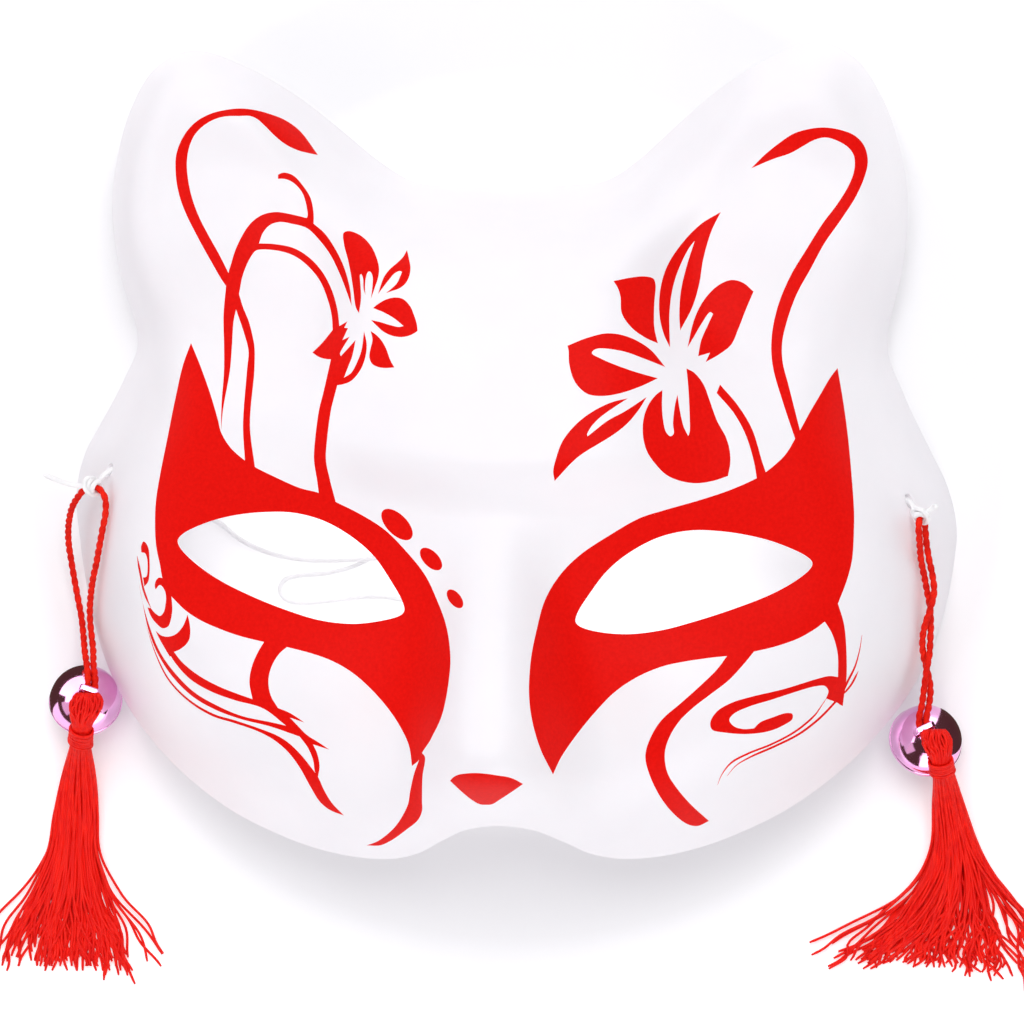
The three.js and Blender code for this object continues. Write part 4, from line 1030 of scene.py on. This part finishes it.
RIGHT_TASSEL_ROUTE = np.array([
    (85, -57.1, 15.7), (84.5, -56.1, 15.4), (84.3, -54.4, 14.6), (84.9, -51.6, 12.6), (85.2, -48.4, 11.2),
    (84.6, -45, 11), (83.8, -41.8, 12), (83.6, -38.4, 13.5), (84.2, -35.2, 14.7), (85.2, -32.2, 15.8),
    (85.9, -29, 16.3), (85.6, -25.6, 16.9), (84.9, -22.4, 18.1), (84.4, -19.2, 19), (84.1, -15.8, 19.4),
    (83.9, -14.2, 20), (83.6, -13.3, 21.3), (83.2, -13.3, 22.8), (82.9, -14.3, 24.1), (82.7, -15.9, 24.6),
    (82.8, -17.5, 24.1), (83, -20, 21.9), (83.3, -22.7, 19.6), (83.9, -25.5, 17.4), (84.5, -28.6, 15.3),
    (85.1, -31.8, 13.9), (85.3, -35, 13.1), (85.2, -38.2, 12.9), (85, -41.4, 12.9), (84.4, -44.8, 12.8),
    (83.9, -48.4, 12.7), (83.4, -51.8, 13.7), (82.8, -54.4, 14.7), (82.9, -56.2, 15.3), (83.5, -57.3, 15.6),
]) / 1000
ELASTIC_ROUTE = np.array([
    (-82.8, -5.4, 21.5), (-81.3, -3.7, 19.4), (-80.3, -3.1, 18.1), (-78.2, -3.6, 15.8), (-75.6, -5.8, 12.2),
    (-73.4, -8, 8.2), (-70.6, -10.2, 4.2), (-67, -11.8, 1.6), (-61.4, -14, 0.7), (-56.8, -17.6, 0.7),
    (-50.5, -20.5, 0.7), (-44.3, -21.8, 0.7), (-38, -22.1, 0.9), (-30, -21.8, 2.1), (-22, -20.8, 0.9),
    (-14, -20.2, 0.7), (-5, -22, 0.7), (-0.6, -26.4, 0.7), (-3, -31.4, 0.7), (-10, -33, 0.7),
    (-19, -31.2, 0.7), (-28, -29.6, 0.7), (-38, -30.4, 0.7), (-44.6, -30.8, 0.7), (-47.6, -29.8, 0.7),
    (-48.5, -27.9, 0.7), (-47.4, -26, 0.7), (-44.6, -25.2, 0.7), (-38, -24.6, 0.7), (-31, -22.4, 0.7),
    (-24, -17.6, 0.7), (-12, -11.8, 0.7), (4, -7.8, 0.7), (22, -5.4, 0.7), (40, -5.4, 0.7), (55, -8.6, 0.7),
    (65.4, -12.4, 1.2), (71.4, -13.4, 4.4), (74.4, -12.8, 9), (76.6, -11.4, 13.2), (78.3, -10.4, 15.9),
    (80.3, -10.2, 17.9), (81.2, -10.9, 19.3), (82.2, -12.3, 21.8),
]) / 1000
LEFT_TAG_ROUTE = np.array([
    (-85.2, -6.5, 23), (-88.2, -6.2, 22.7), (-91.4, -5.2, 20.8), (-94.4, -4.2, 17.8),
]) / 1000
RIGHT_TAG_ROUTE = np.array([
    (83.9, -13, 23.9), (85, -12.3, 24), (85.9, -11.8, 24.4), (86.2, -11.7, 25.4),
]) / 1000


def strand_section(angles):
    """The reach of a cord laid of two strands, with a crease between them."""
    return CORD_D / 2 * (0.74 + 0.36 * np.abs(np.cos(CORD_STRANDS * angles / 2)) ** 0.8)


def tassel_cord(side, route, red):
    path = evenly(spline(route, 0.3 * MM), 0.3 * MM)
    skin = Skin()
    skin.tube(path, strand_section, 24, twist=2 * math.pi / CORD_LAY)
    piece = skin_piece(f"{side}_tassel_twisted_cord", skin, red)
    settle(piece, "red_cord", f"{side}_tassel_cord")
    return piece


def head_elastic(white):
    path = evenly(spline(ELASTIC_ROUTE, 0.3 * MM), 0.4 * MM)
    skin = Skin()
    skin.tube(path, ELASTIC_D / 2, 16)
    piece = skin_piece("head_elastic_cord", skin, white)
    settle(piece, "white_elastic", "head_elastic")
    return piece


# Knots of the elastic, each tied round the top of a tassel's cord

KNOT_STRAND_R = 0.5 * MM
KNOT_GAP = 0.04 * MM
COIL_TURNS = 2.1
COIL_REACH = 1.05 * MM  # along the cord, to each side of the knot's middle
COLLAR_TILT = 0.6
# Where each knot's middle is, and whether its turns run on with the cord or against it
KNOTS = {"left": ((-0.084, -0.0067, 0.0225), -1), "right": ((0.0831, -0.0137, 0.0232), 1)}


def elastic_knot(side, cord_route, start, tag_route, white):
    """The elastic from its end outside the strap hole, wound round the cord, to its tag end."""
    middle, way = KNOTS[side]
    cord = evenly(spline(cord_route, 0.1 * MM), 0.1 * MM)
    across, over = carried_frames(cord)
    along = lengths_along(cord)
    at = np.linalg.norm(cord - middle, axis=1).argmin()
    reach = CORD_D / 2 + KNOT_STRAND_R + KNOT_GAP
    towards = np.array(start) - cord[at]
    first = math.atan2(np.dot(towards, over[at]), np.dot(towards, across[at]))
    share = np.linspace(0, 1, 60)
    places = along[at] + way * COIL_REACH * (2 * share - 1)
    turns = first + 2 * math.pi * COIL_TURNS * share
    rows = np.searchsorted(along, places)
    coil = cord[rows] + reach * circling(turns[:, None], across[rows], over[rows])
    strand = np.vstack([[start], coil[3:-3:3], tag_route])
    skin = Skin()
    skin.tube(evenly(spline(strand, 0.1 * MM), 0.25 * MM), KNOT_STRAND_R, 12)
    ring = np.linspace(0, 2 * math.pi, 49)[:, None]
    wide = reach + KNOT_STRAND_R
    tangent = unit(cord[at + 1] - cord[at - 1])
    collar = cord[at] + wide * circling(ring, across[at] + COLLAR_TILT * tangent, over[at])
    skin.tube(collar, KNOT_STRAND_R, 12, caps=False)
    piece = skin_piece(f"{side}_knot", skin, white)
    return settle(piece, "white_elastic", f"{side}_elastic_knot")


# Tassels: the head lies on the bell, the neck is bound, and the threads fan out on the table

THREAD_R = 0.3 * MM
THREAD_SIDES = 6
THREAD_COUNT = 170
HEAD_COUNT = 46  # threads on the outside of the head
FILL_COUNT = 30  # and inside it
STRAY_COUNT = 14
HEAD_OUT = (0.86, 1.04)  # how far out the head's threads lie, as shares of its reach
FILL_OUT = (0.6, 0.75)
THREAD_SHORTEST = 0.93  # shares of the tassel's own length
THREAD_LONGEST = 1.03
STRAY_LONGEST = 1.1
THREAD_TAPER = 0.82  # at the head
THREAD_TIP = 0.7
STRAY_REACH = {"left": 0.5, "right": 0.2}  # past the edge, in half widths
EDGE_LONGER = {"left": 0.03, "right": 0.16}  # how much longer the outermost threads are
CLUMP_COUNT = 21
CLUMP_DRIFT = 0.12
CLUMPED_FROM = 7.6  # station
GATHER = 0.6  # how far the threads of a clump close up
INWARD = 0.85
CROSSING = 0.3  # how far a thread wanders to one side between the neck and its end
SWAY = 0.07  # the long waves of a loose thread, in half widths
RAGGED = 0.15  # how far its end turns aside
CRIMP = 0.04  # the short waves near its end
FOLD = 0.14  # how far the head's threads slant across each other
LIFT = 0.3  # how far a loose thread stands above or below its row, in half thicknesses
ROWS_A_STATION = 7
THREAD_STEP = 1.0 * MM
HEAD_LONG = 14 * MM
TAIL = 8 * MM  # how far a long thread can reach past the last station
NECK_STATION = 5
BOUND_FROM = (4, 0.35)  # station, and share of the way to the next one
BOUND_TO = (5, 0.65)
BINDING_R = 0.24 * MM
BINDING_GAP = -0.05 * MM
BINDING_PITCH = 1.8 * BINDING_R
BINDING_UNEVEN = (0.35, 0.5)  # outwards and along the neck, in radii of its thread

# Each station is x, y, z, half width and half thickness, in millimetres
LEFT_STATIONS = np.array([
    (-86.1, -48.7, 17, 2.4, 1), (-86.2, -50.1, 17.3, 3.5, 1.9), (-86.5, -51.9, 17, 3.5, 2.2),
    (-87, -53.6, 16.5, 2.9, 2), (-87.5, -55.4, 15.7, 2.2, 1.7), (-88.1, -57.5, 13.8, 2.1, 1.6),
    (-88.8, -60, 10.6, 2.4, 1.6), (-90, -66, 5.7, 3.8, 1.6), (-91, -74, 2.9, 5, 1.5),
    (-91.8, -82, 1.7, 5.2, 1.3), (-92.6, -91, 1.4, 8.2, 1.2), (-93.2, -99, 1.2, 12.2, 1),
    (-93.2, -107, 1, 15.2, 0.8),
]) / 1000
RIGHT_STATIONS = np.array([
    (85.7, -56.6, 17, 2.4, 1), (86, -57.9, 17.4, 3.3, 1.9), (86.3, -59.4, 17.1, 3.2, 2.2),
    (86.6, -60.7, 16.9, 2.8, 2.1), (86.9, -62.2, 16.5, 2.2, 1.7), (87.2, -64, 15.2, 2.1, 1.6),
    (87.7, -66.2, 12.5, 2.4, 1.6), (88.6, -72, 6.9, 3.5, 1.6), (90, -81.2, 2.9, 5.4, 1.5),
    (90.3, -88, 1.8, 8.5, 1.3), (89.2, -95, 1.4, 14, 1.2), (87, -101.5, 1.2, 20.5, 1),
    (84.8, -107, 1, 25, 0.8),
]) / 1000


def station_at(stations, place):
    """A row of stations' values at places counted in stations, smoothly."""
    dense = spline(stations, 1.0 * MM)
    marks = lengths_along(dense[:, :3])
    own = [marks[np.argmin(np.linalg.norm(dense[:, :3] - s[:3], axis=1))] for s in stations]
    along = np.interp(place, np.arange(len(stations)), own)
    return np.stack([np.interp(along, marks, dense[:, k]) for k in range(5)], 1)


def threads(side, stations, seed, red):
    """Every thread of a tassel, from the folded head to its own loose end."""
    chance = random.Random(seed)
    last = len(stations) - 1
    clumps = [(chance.uniform(-1, 1), chance.gauss(0, CLUMP_DRIFT)) for _ in range(CLUMP_COUNT)]
    skin = Skin()
    for i in range(THREAD_COUNT):
        folds = i < HEAD_COUNT + FILL_COUNT
        stray = i >= THREAD_COUNT - STRAY_COUNT
        if i < HEAD_COUNT:
            turn, out = 2 * math.pi * i / HEAD_COUNT, chance.uniform(*HEAD_OUT)
        elif folds:
            turn, out = 2 * math.pi * i / FILL_COUNT, chance.uniform(*FILL_OUT)
        elif stray:
            turn, out = chance.choice([0, math.pi]) + chance.gauss(0, 0.4), 0.9
        else:
            turn, out = chance.uniform(0, 2 * math.pi), math.sqrt(chance.uniform(0, 0.9))
        start = 0 if folds else NECK_STATION
        place = np.linspace(start, last, (last - start) * ROWS_A_STATION)
        rows = station_at(stations, place)
        own = out * math.cos(turn)
        crossed = min(0.95, max(-0.95, INWARD * own + chance.gauss(0, CROSSING)))
        own = mix(own, crossed, smooth((place - NECK_STATION) / 5))
        middle, drift = min(clumps, key=lambda clump: abs(clump[0] - crossed) + chance.uniform(0, 0.3))
        gather = GATHER * smooth((place - CLUMPED_FROM) / 3.5)
        across = mix(own, middle + drift + chance.gauss(0, 0.05), gather)
        if stray:
            reach = chance.uniform(0.05, STRAY_REACH[side]) * math.copysign(1, crossed)
            across = own + reach * smooth((place - CLUMPED_FROM) / 3)
        loose = smooth((place - NECK_STATION - 0.5) / 6)
        for wave in range(3):
            size = chance.gauss(0, SWAY) / (wave + 1)
            across = across + size * loose * np.sin(place * (0.8 + 0.8 * wave) + chance.uniform(0, 6.28))
        ragged = smooth((place - CLUMPED_FROM - 1) / 3)
        across = across + chance.gauss(0, RAGGED) * ragged**2
        bends = place * chance.uniform(3, 6) + chance.uniform(0, 6.28)
        across = across + CRIMP * ragged * np.sin(bends)
        folded = smooth((NECK_STATION - 0.5 - place) / 2)
        across = across + chance.gauss(0, FOLD) * folded * np.sin(place * 1.7 + chance.uniform(0, 6.28))
        across = mix(across, np.clip(across, -1, 1), folded)
        up = out * math.sin(turn) + chance.gauss(0, LIFT) * loose * np.cos(place * 1.3)
        wide, thick = np.maximum(rows[:, 3:] - THREAD_R, 0.2 * MM).T
        path = rows[:, :3].copy()
        path[:, 0] += across * wide
        path[:, 2] += np.clip(up, -1, 1.1) * thick
        path = np.vstack([path, path[-1] + unit(path[-1] - path[-4]) * TAIL])
        path[:, 2] = np.maximum(path[:, 2], THREAD_R + 0.02 * MM)
        path = evenly(spline(path, THREAD_STEP), THREAD_STEP)
        middle_length = lengths_along(rows[:, :3])[-1]
        share = chance.uniform(THREAD_SHORTEST, STRAY_LONGEST if stray else THREAD_LONGEST)
        share += EDGE_LONGER[side] * min(1, abs(across[-1])) ** 2
        path = path[: round(middle_length * share / THREAD_STEP)]
        down = smooth(np.arange(len(path)) * THREAD_STEP / HEAD_LONG)
        thin = THREAD_R * mix(THREAD_TAPER, 1, down)
        thin[-1] *= THREAD_TIP
        skin.tube(path, thin, THREAD_SIDES)
    piece = skin_piece(f"{side}_tassel", skin, red)
    return settle(piece, "red_thread", f"{side}_tassel_threads")


def binding(side, stations, seed, red):
    """One thread wound round the neck of a tassel."""
    chance = random.Random(seed)
    (first, low), (second, high) = BOUND_FROM, BOUND_TO
    start = mix(stations[first], stations[first + 1], low)
    end = mix(stations[second], stations[second + 1], high)
    way = unit(end[:3] - start[:3])
    across = unit(np.cross(way, [0.0, 0.0, 1.0]))
    over = np.cross(across, way)
    long = np.linalg.norm(end[:3] - start[:3])
    turns = round(long / BINDING_PITCH)
    t = np.linspace(0, 1, turns * 28 + 1)[:, None]
    rows = mix(start, end, t)
    angle = 2 * math.pi * turns * t
    outwards, sideways = BINDING_UNEVEN
    grow = BINDING_GAP + BINDING_R * (1 + outwards * np.sin(angle / 3.3) * np.sin(angle * 0.21))
    shift = sideways * BINDING_R * np.sin(angle * 0.37 + chance.uniform(0, 6))
    path = (
        rows[:, :3]
        + way * shift
        + circling(angle, across * (rows[:, 3:4] + grow), over * (rows[:, 4:5] + grow))
    )
    skin = Skin()
    skin.tube(path, BINDING_R, 8)
    piece = skin_piece(f"{side}_binding", skin, red)
    return settle(piece, "red_thread", f"{side}_tassel_binding")


# Materials


class Tree:
    """A node tree and short ways to add to it."""

    def __init__(self, tree):
        self.nodes, self.links = tree.nodes, tree.links

    def set(self, socket, value):
        if isinstance(value, bpy.types.NodeSocket):
            self.links.new(value, socket)
        else:
            socket.default_value = value

    def node(self, kind, **sockets):
        made = self.nodes.new(kind)
        for socket, value in sockets.items():
            self.set(made.inputs[socket.replace("_", " ")], value)
        return made

    def math(self, operation, *values):
        made = self.nodes.new("ShaderNodeMath")
        made.operation = operation
        for socket, value in zip(made.inputs, values):
            self.set(socket, value)
        return made.outputs["Value"]

    def within(self, value, low, high):
        return self.math("COMPARE", value, (low + high) / 2, (high - low) / 2)

    def choose(self, share, first, second):
        made = self.node("ShaderNodeMixShader", Fac=share)
        self.links.new(first, made.inputs[1])
        self.links.new(second, made.inputs[2])
        return made.outputs["Shader"]

    def dark_share(self, aside, ahead, height, right):
        """Where the dark parts of the room are, from a direction's parts."""
        turn = self.math("ARCTAN2", ahead, aside)
        share = 0.0
        for on_right, first, last, low, high in DARK_PARTS:
            part = self.within(turn, math.radians(first), math.radians(last))
            part = self.math("MULTIPLY", part, self.within(height, low, high))
            part = self.math("MULTIPLY", part, self.math("COMPARE", right, on_right, 0.1))
            share = self.math("MAXIMUM", share, part)
        return share


class Shader(Tree):
    """A Principled material and short ways to add to its nodes."""

    def __init__(self, name, **values):
        self.material = bpy.data.materials.new(name)
        self.material.use_nodes = True
        super().__init__(self.material.node_tree)
        self.surface = self.nodes["Principled BSDF"]
        for socket, value in values.items():
            self.surface.inputs[socket.replace("_", " ")].default_value = value

    def place(self):
        return self.node("ShaderNodeTexCoord").outputs["Object"]

    def noise(self, scale, detail=3.0, vector=None):
        made = self.node("ShaderNodeTexNoise", Scale=scale, Detail=detail, Vector=vector or self.place())
        return made.outputs["Fac"]

    def ramp(self, value, stops):
        made = self.node("ShaderNodeValToRGB", Fac=value)
        elements = made.color_ramp.elements
        while len(elements) < len(stops):
            elements.new(0.5)
        for element, (place, color) in zip(elements, stops):
            element.position = place
            element.color = (*color, 1.0)
        return made.outputs["Color"]

    def color(self, value, stops):
        self.links.new(self.ramp(value, stops), self.surface.inputs["Base Color"])

    def roughness(self, value, low, high):
        made = self.node("ShaderNodeMapRange", Value=value, To_Min=low, To_Max=high)
        self.links.new(made.outputs["Result"], self.surface.inputs["Roughness"])

    def bump(self, height, strength, distance):
        made = self.node("ShaderNodeBump", Height=height, Strength=strength, Distance=distance)
        self.links.new(made.outputs["Normal"], self.surface.inputs["Normal"])


def white_plastic():
    shader = Shader("mask_white_plastic", Specular_IOR_Level=0.35, Subsurface_Weight=0.12,
                    Subsurface_Radius=(0.004, 0.003, 0.003), Subsurface_Scale=1.0)
    cloud = shader.noise(45.0, 4.0)
    shader.color(cloud, [(0.3, (0.885, 0.86, 0.89)), (0.7, (0.92, 0.895, 0.92))])
    shader.roughness(shader.noise(260.0), 0.36, 0.5)
    shader.bump(shader.noise(900.0, 2.0), 0.12, 0.00006)
    return shader.material


def red_print():
    shader = Shader("mask_red_print", Specular_IOR_Level=0.06)
    grain = shader.noise(1500.0, 3.0)
    shader.color(grain, [(0.3, (0.74, 0.003, 0.001)), (0.7, (0.82, 0.005, 0.002))])
    shader.roughness(shader.noise(500.0), 0.42, 0.55)
    shader.bump(grain, 0.15, 0.00005)
    return shader.material


def bell_metal():
    shader = Shader("pink_bell_metal", Metallic=1.0)
    shader.color(shader.noise(160.0, 2.0), [(0.35, (0.8, 0.35, 0.66)), (0.65, (0.87, 0.45, 0.76))])
    shader.roughness(shader.noise(700.0), 0.06, 0.16)
    shader.bump(shader.noise(380.0, 2.0), 0.05, 0.0001)
    return shader.material


def bell_inside_painted_shade():
    # The inside of a bell: near-black metal, a painted shade in its hollow
    shader = Shader("bell_inside_painted_shade", Metallic=1.0)
    shader.color(shader.noise(300.0), [(0.35, (0.05, 0.03, 0.035)), (0.65, (0.09, 0.06, 0.07))])
    shader.roughness(shader.noise(500.0), 0.5, 0.7)
    return shader.material


def twisted(shader, turns, strength, distance):
    """Fibres that run slanting round a tube, from its UVs: once round, and metres along."""
    uv = shader.node("ShaderNodeTexCoord").outputs["UV"]
    split = shader.node("ShaderNodeSeparateXYZ", Vector=uv)
    total = shader.math("MULTIPLY_ADD", split.outputs["Y"], turns, split.outputs["X"])
    wave = shader.math("SINE", shader.math("MULTIPLY", total, 2 * math.pi * 3))
    shader.bump(wave, strength, distance)


def red_fibre(name, low, high, long, scale, **values):
    """Red fibre, lighter and darker in patches that are longer along Y."""
    shader = Shader(name, **values)
    place = shader.node("ShaderNodeMapping", Vector=shader.place(), Scale=(1, 1 / long, 1))
    patches = shader.noise(scale, 3.0, place.outputs["Vector"])
    shader.color(patches, [(0.3, low), (0.7, high)])
    return shader


def cord_red():
    shader = red_fibre("red_cord", (0.72, 0.006, 0.001), (0.96, 0.018, 0.004), 1.0, 420.0,
                       Roughness=0.5, Specular_IOR_Level=0.12)
    twisted(shader, -1100.0, 0.5, 0.00005)
    return shader.material


def thread_red():
    shader = red_fibre("red_thread", (0.8, 0.002, 0.001), (1.0, 0.014, 0.004), 25.0, 1300.0,
                       Roughness=0.4, Specular_IOR_Level=0.2)
    twisted(shader, 900.0, 0.5, 0.00005)
    return shader.material


def elastic_white():
    shader = Shader("white_elastic", Roughness=0.6, Sheen_Weight=0.5, Subsurface_Weight=0.6,
                    Subsurface_Radius=(0.001, 0.001, 0.001), Subsurface_Scale=1.0)
    shader.color(shader.noise(900.0), [(0.3, (0.93, 0.93, 0.94)), (0.7, (0.98, 0.98, 0.98))])
    twisted(shader, 1500.0, 0.3, 0.00005)
    return shader.material


# Room

# What the bells reflect: a white room with dark parts. Each part is on the right (1) or left (0),
# between two turns in degrees from straight aside towards the ears, and between two heights of a
# direction of length one.
DARK_PARTS = [
    (0, -2, 15, -1, 0.5), (0, 15, 82, -1, -0.34), (0, -75, -2, -0.1, 0.8),
    (1, -35, 60, -1, 0.75),
    (0, -180, 180, 0.8, 1), (1, -180, 180, 0.8, 1),
]
DARK_ROOM = (0.085, 0.05, 0.035, 1)
WHITE_ROOM = (2.4, 2.4, 2.4, 1)
BELL_ASIDE = 0.0862  # the bells' mean place
BELL_AHEAD = -0.055

FLOOR_HALF = 4.0
FLOOR_DROP = 0.05 * MM  # just under what lies on it
FLOOR_HEIGHT = -0.5  # its height among those of the dark parts
# Painted light: the floor glows under the mask's middle, where the mask shades it, and again beyond its
# rim, and only a little in the ring between, where the mask's shadow falls. Each row is two distances from
# the middle and the strength of the glow at each.
FLOOR_GLOW = [(0.05, 0.08, 0.36, 0.0), (0.1, 0.13, 0.06, 0.42)]


def floor():
    shader = Shader("floor_white", Roughness=0.9, Base_Color=(0.9, 0.9, 0.91, 1),
                    Emission_Color=(1, 1, 1, 1))
    away = shader.node("ShaderNodeVectorMath", Vector=shader.place())
    away.operation = "LENGTH"
    # The floor's painted light, a glow by distance from the middle
    glow = [
        shader.node("ShaderNodeMapRange", Value=away.outputs["Value"], From_Min=near, From_Max=far,
                    To_Min=first, To_Max=last).outputs["Result"]
        for near, far, first, last in FLOOR_GLOW
    ]
    shader.links.new(shader.math("ADD", *glow), shader.surface.inputs["Emission Strength"])
    # Painted reflection: for glossy rays only, the floor shows the dark room colour in sectors round the
    # bells' places, which paints dark reflections on the bells
    split = shader.node("ShaderNodeSeparateXYZ", Vector=shader.place())
    aside = shader.math("SUBTRACT", shader.math("ABSOLUTE", split.outputs["X"]), BELL_ASIDE)
    ahead = shader.math("SUBTRACT", split.outputs["Y"], BELL_AHEAD)
    right = shader.math("GREATER_THAN", split.outputs["X"], 0.0)
    share = shader.dark_share(aside, ahead, FLOOR_HEIGHT, right)
    ray = shader.node("ShaderNodeLightPath")
    share = shader.math("MULTIPLY", share, ray.outputs["Is Glossy Ray"])
    dark = shader.node("ShaderNodeEmission", Color=DARK_ROOM, Strength=1.0)
    chosen = shader.choose(share, shader.surface.outputs["BSDF"], dark.outputs["Emission"])
    shader.links.new(chosen, shader.nodes["Material Output"].inputs["Surface"])
    corners = [(FLOOR_HALF * x, FLOOR_HALF * y, 0) for x, y in ((-1, -1), (1, -1), (1, 1), (-1, 1))]
    piece = mesh_piece("floor", corners, [(0, 1, 2, 3)], shader.material)
    piece.location.z = -FLOOR_DROP


def area_light(name, place, aim, size, watts, tint=(1, 1, 1)):
    data = bpy.data.lights.new(name, "AREA")
    data.shape = "SQUARE"
    data.size = size
    data.energy = watts
    data.color = tint
    light = placed(name, data)
    light.location = place
    light.rotation_euler = (Vector(aim) - Vector(place)).to_track_quat("-Z", "Y").to_euler()
    return light


def room():
    floor()
    area_light("key", (0.1, 0.75, 1.7), (0, 0, 0), 1.1, 17)
    area_light("left_fill", (-1.3, -0.5, 0.9), (0, 0, 0), 1.0, 2.5, tint=(1.0, 0.9, 0.95))
    area_light("front_fill", (0.2, -1.5, 0.7), (0, 0, 0), 1.2, 5.5)
    area_light("under_fill", (-0.015, 0.01, 0.03), (-0.02, -0.01, 0), 0.03, 0.008).visible_camera = False
    world = bpy.data.worlds.new("studio")
    world.use_nodes = True
    tree = Tree(world.node_tree)
    pale = tree.nodes["Background"]
    pale.inputs["Color"].default_value = (0.97, 0.96, 1.0, 1)
    pale.inputs["Strength"].default_value = 0.54
    place = tree.node("ShaderNodeTexCoord").outputs["Generated"]
    split = tree.node("ShaderNodeSeparateXYZ", Vector=place)
    aside = tree.math("ABSOLUTE", split.outputs["X"])
    right = tree.math("GREATER_THAN", split.outputs["X"], 0.0)
    share = tree.dark_share(aside, split.outputs["Y"], split.outputs["Z"], right)
    white, dark = (tree.node("ShaderNodeBackground", Color=color, Strength=1.0).outputs["Background"]
                   for color in (WHITE_ROOM, DARK_ROOM))
    ray = tree.node("ShaderNodeLightPath").outputs["Is Glossy Ray"]
    chosen = tree.choose(ray, pale.outputs["Background"], tree.choose(share, white, dark))
    tree.links.new(chosen, tree.nodes["World Output"].inputs["Surface"])
    scene = bpy.context.scene
    scene.world = world
    scene.view_settings.view_transform = "Standard"


# Making

make_camera()
CORD_RED = cord_red()
THREAD_RED = thread_red()
METAL = bell_metal()
METAL_PAINTED_SHADE = bell_inside_painted_shade()
ELASTIC_WHITE = elastic_white()

knots = [
    elastic_knot("left", LEFT_TASSEL_ROUTE, ELASTIC_ROUTE[0], LEFT_TAG_ROUTE, ELASTIC_WHITE),
    elastic_knot("right", RIGHT_TASSEL_ROUTE, ELASTIC_ROUTE[-1], RIGHT_TAG_ROUTE, ELASTIC_WHITE),
]
head_elastic(ELASTIC_WHITE)
SIDES = {"left": (LEFT_TASSEL_ROUTE, LEFT_STATIONS, 7), "right": (RIGHT_TASSEL_ROUTE, RIGHT_STATIONS, 11)}
for side, (route, stations, seed) in SIDES.items():
    bell = [bell_body(side, METAL, METAL_PAINTED_SHADE), bell_eye(side, METAL)]
    on_cord = [*bell, binding(side, stations, seed, THREAD_RED)]
    threads(side, stations, seed, THREAD_RED)
    tassel_cord(side, route, CORD_RED)
mask_sheet(white_plastic(), red_print())
room()
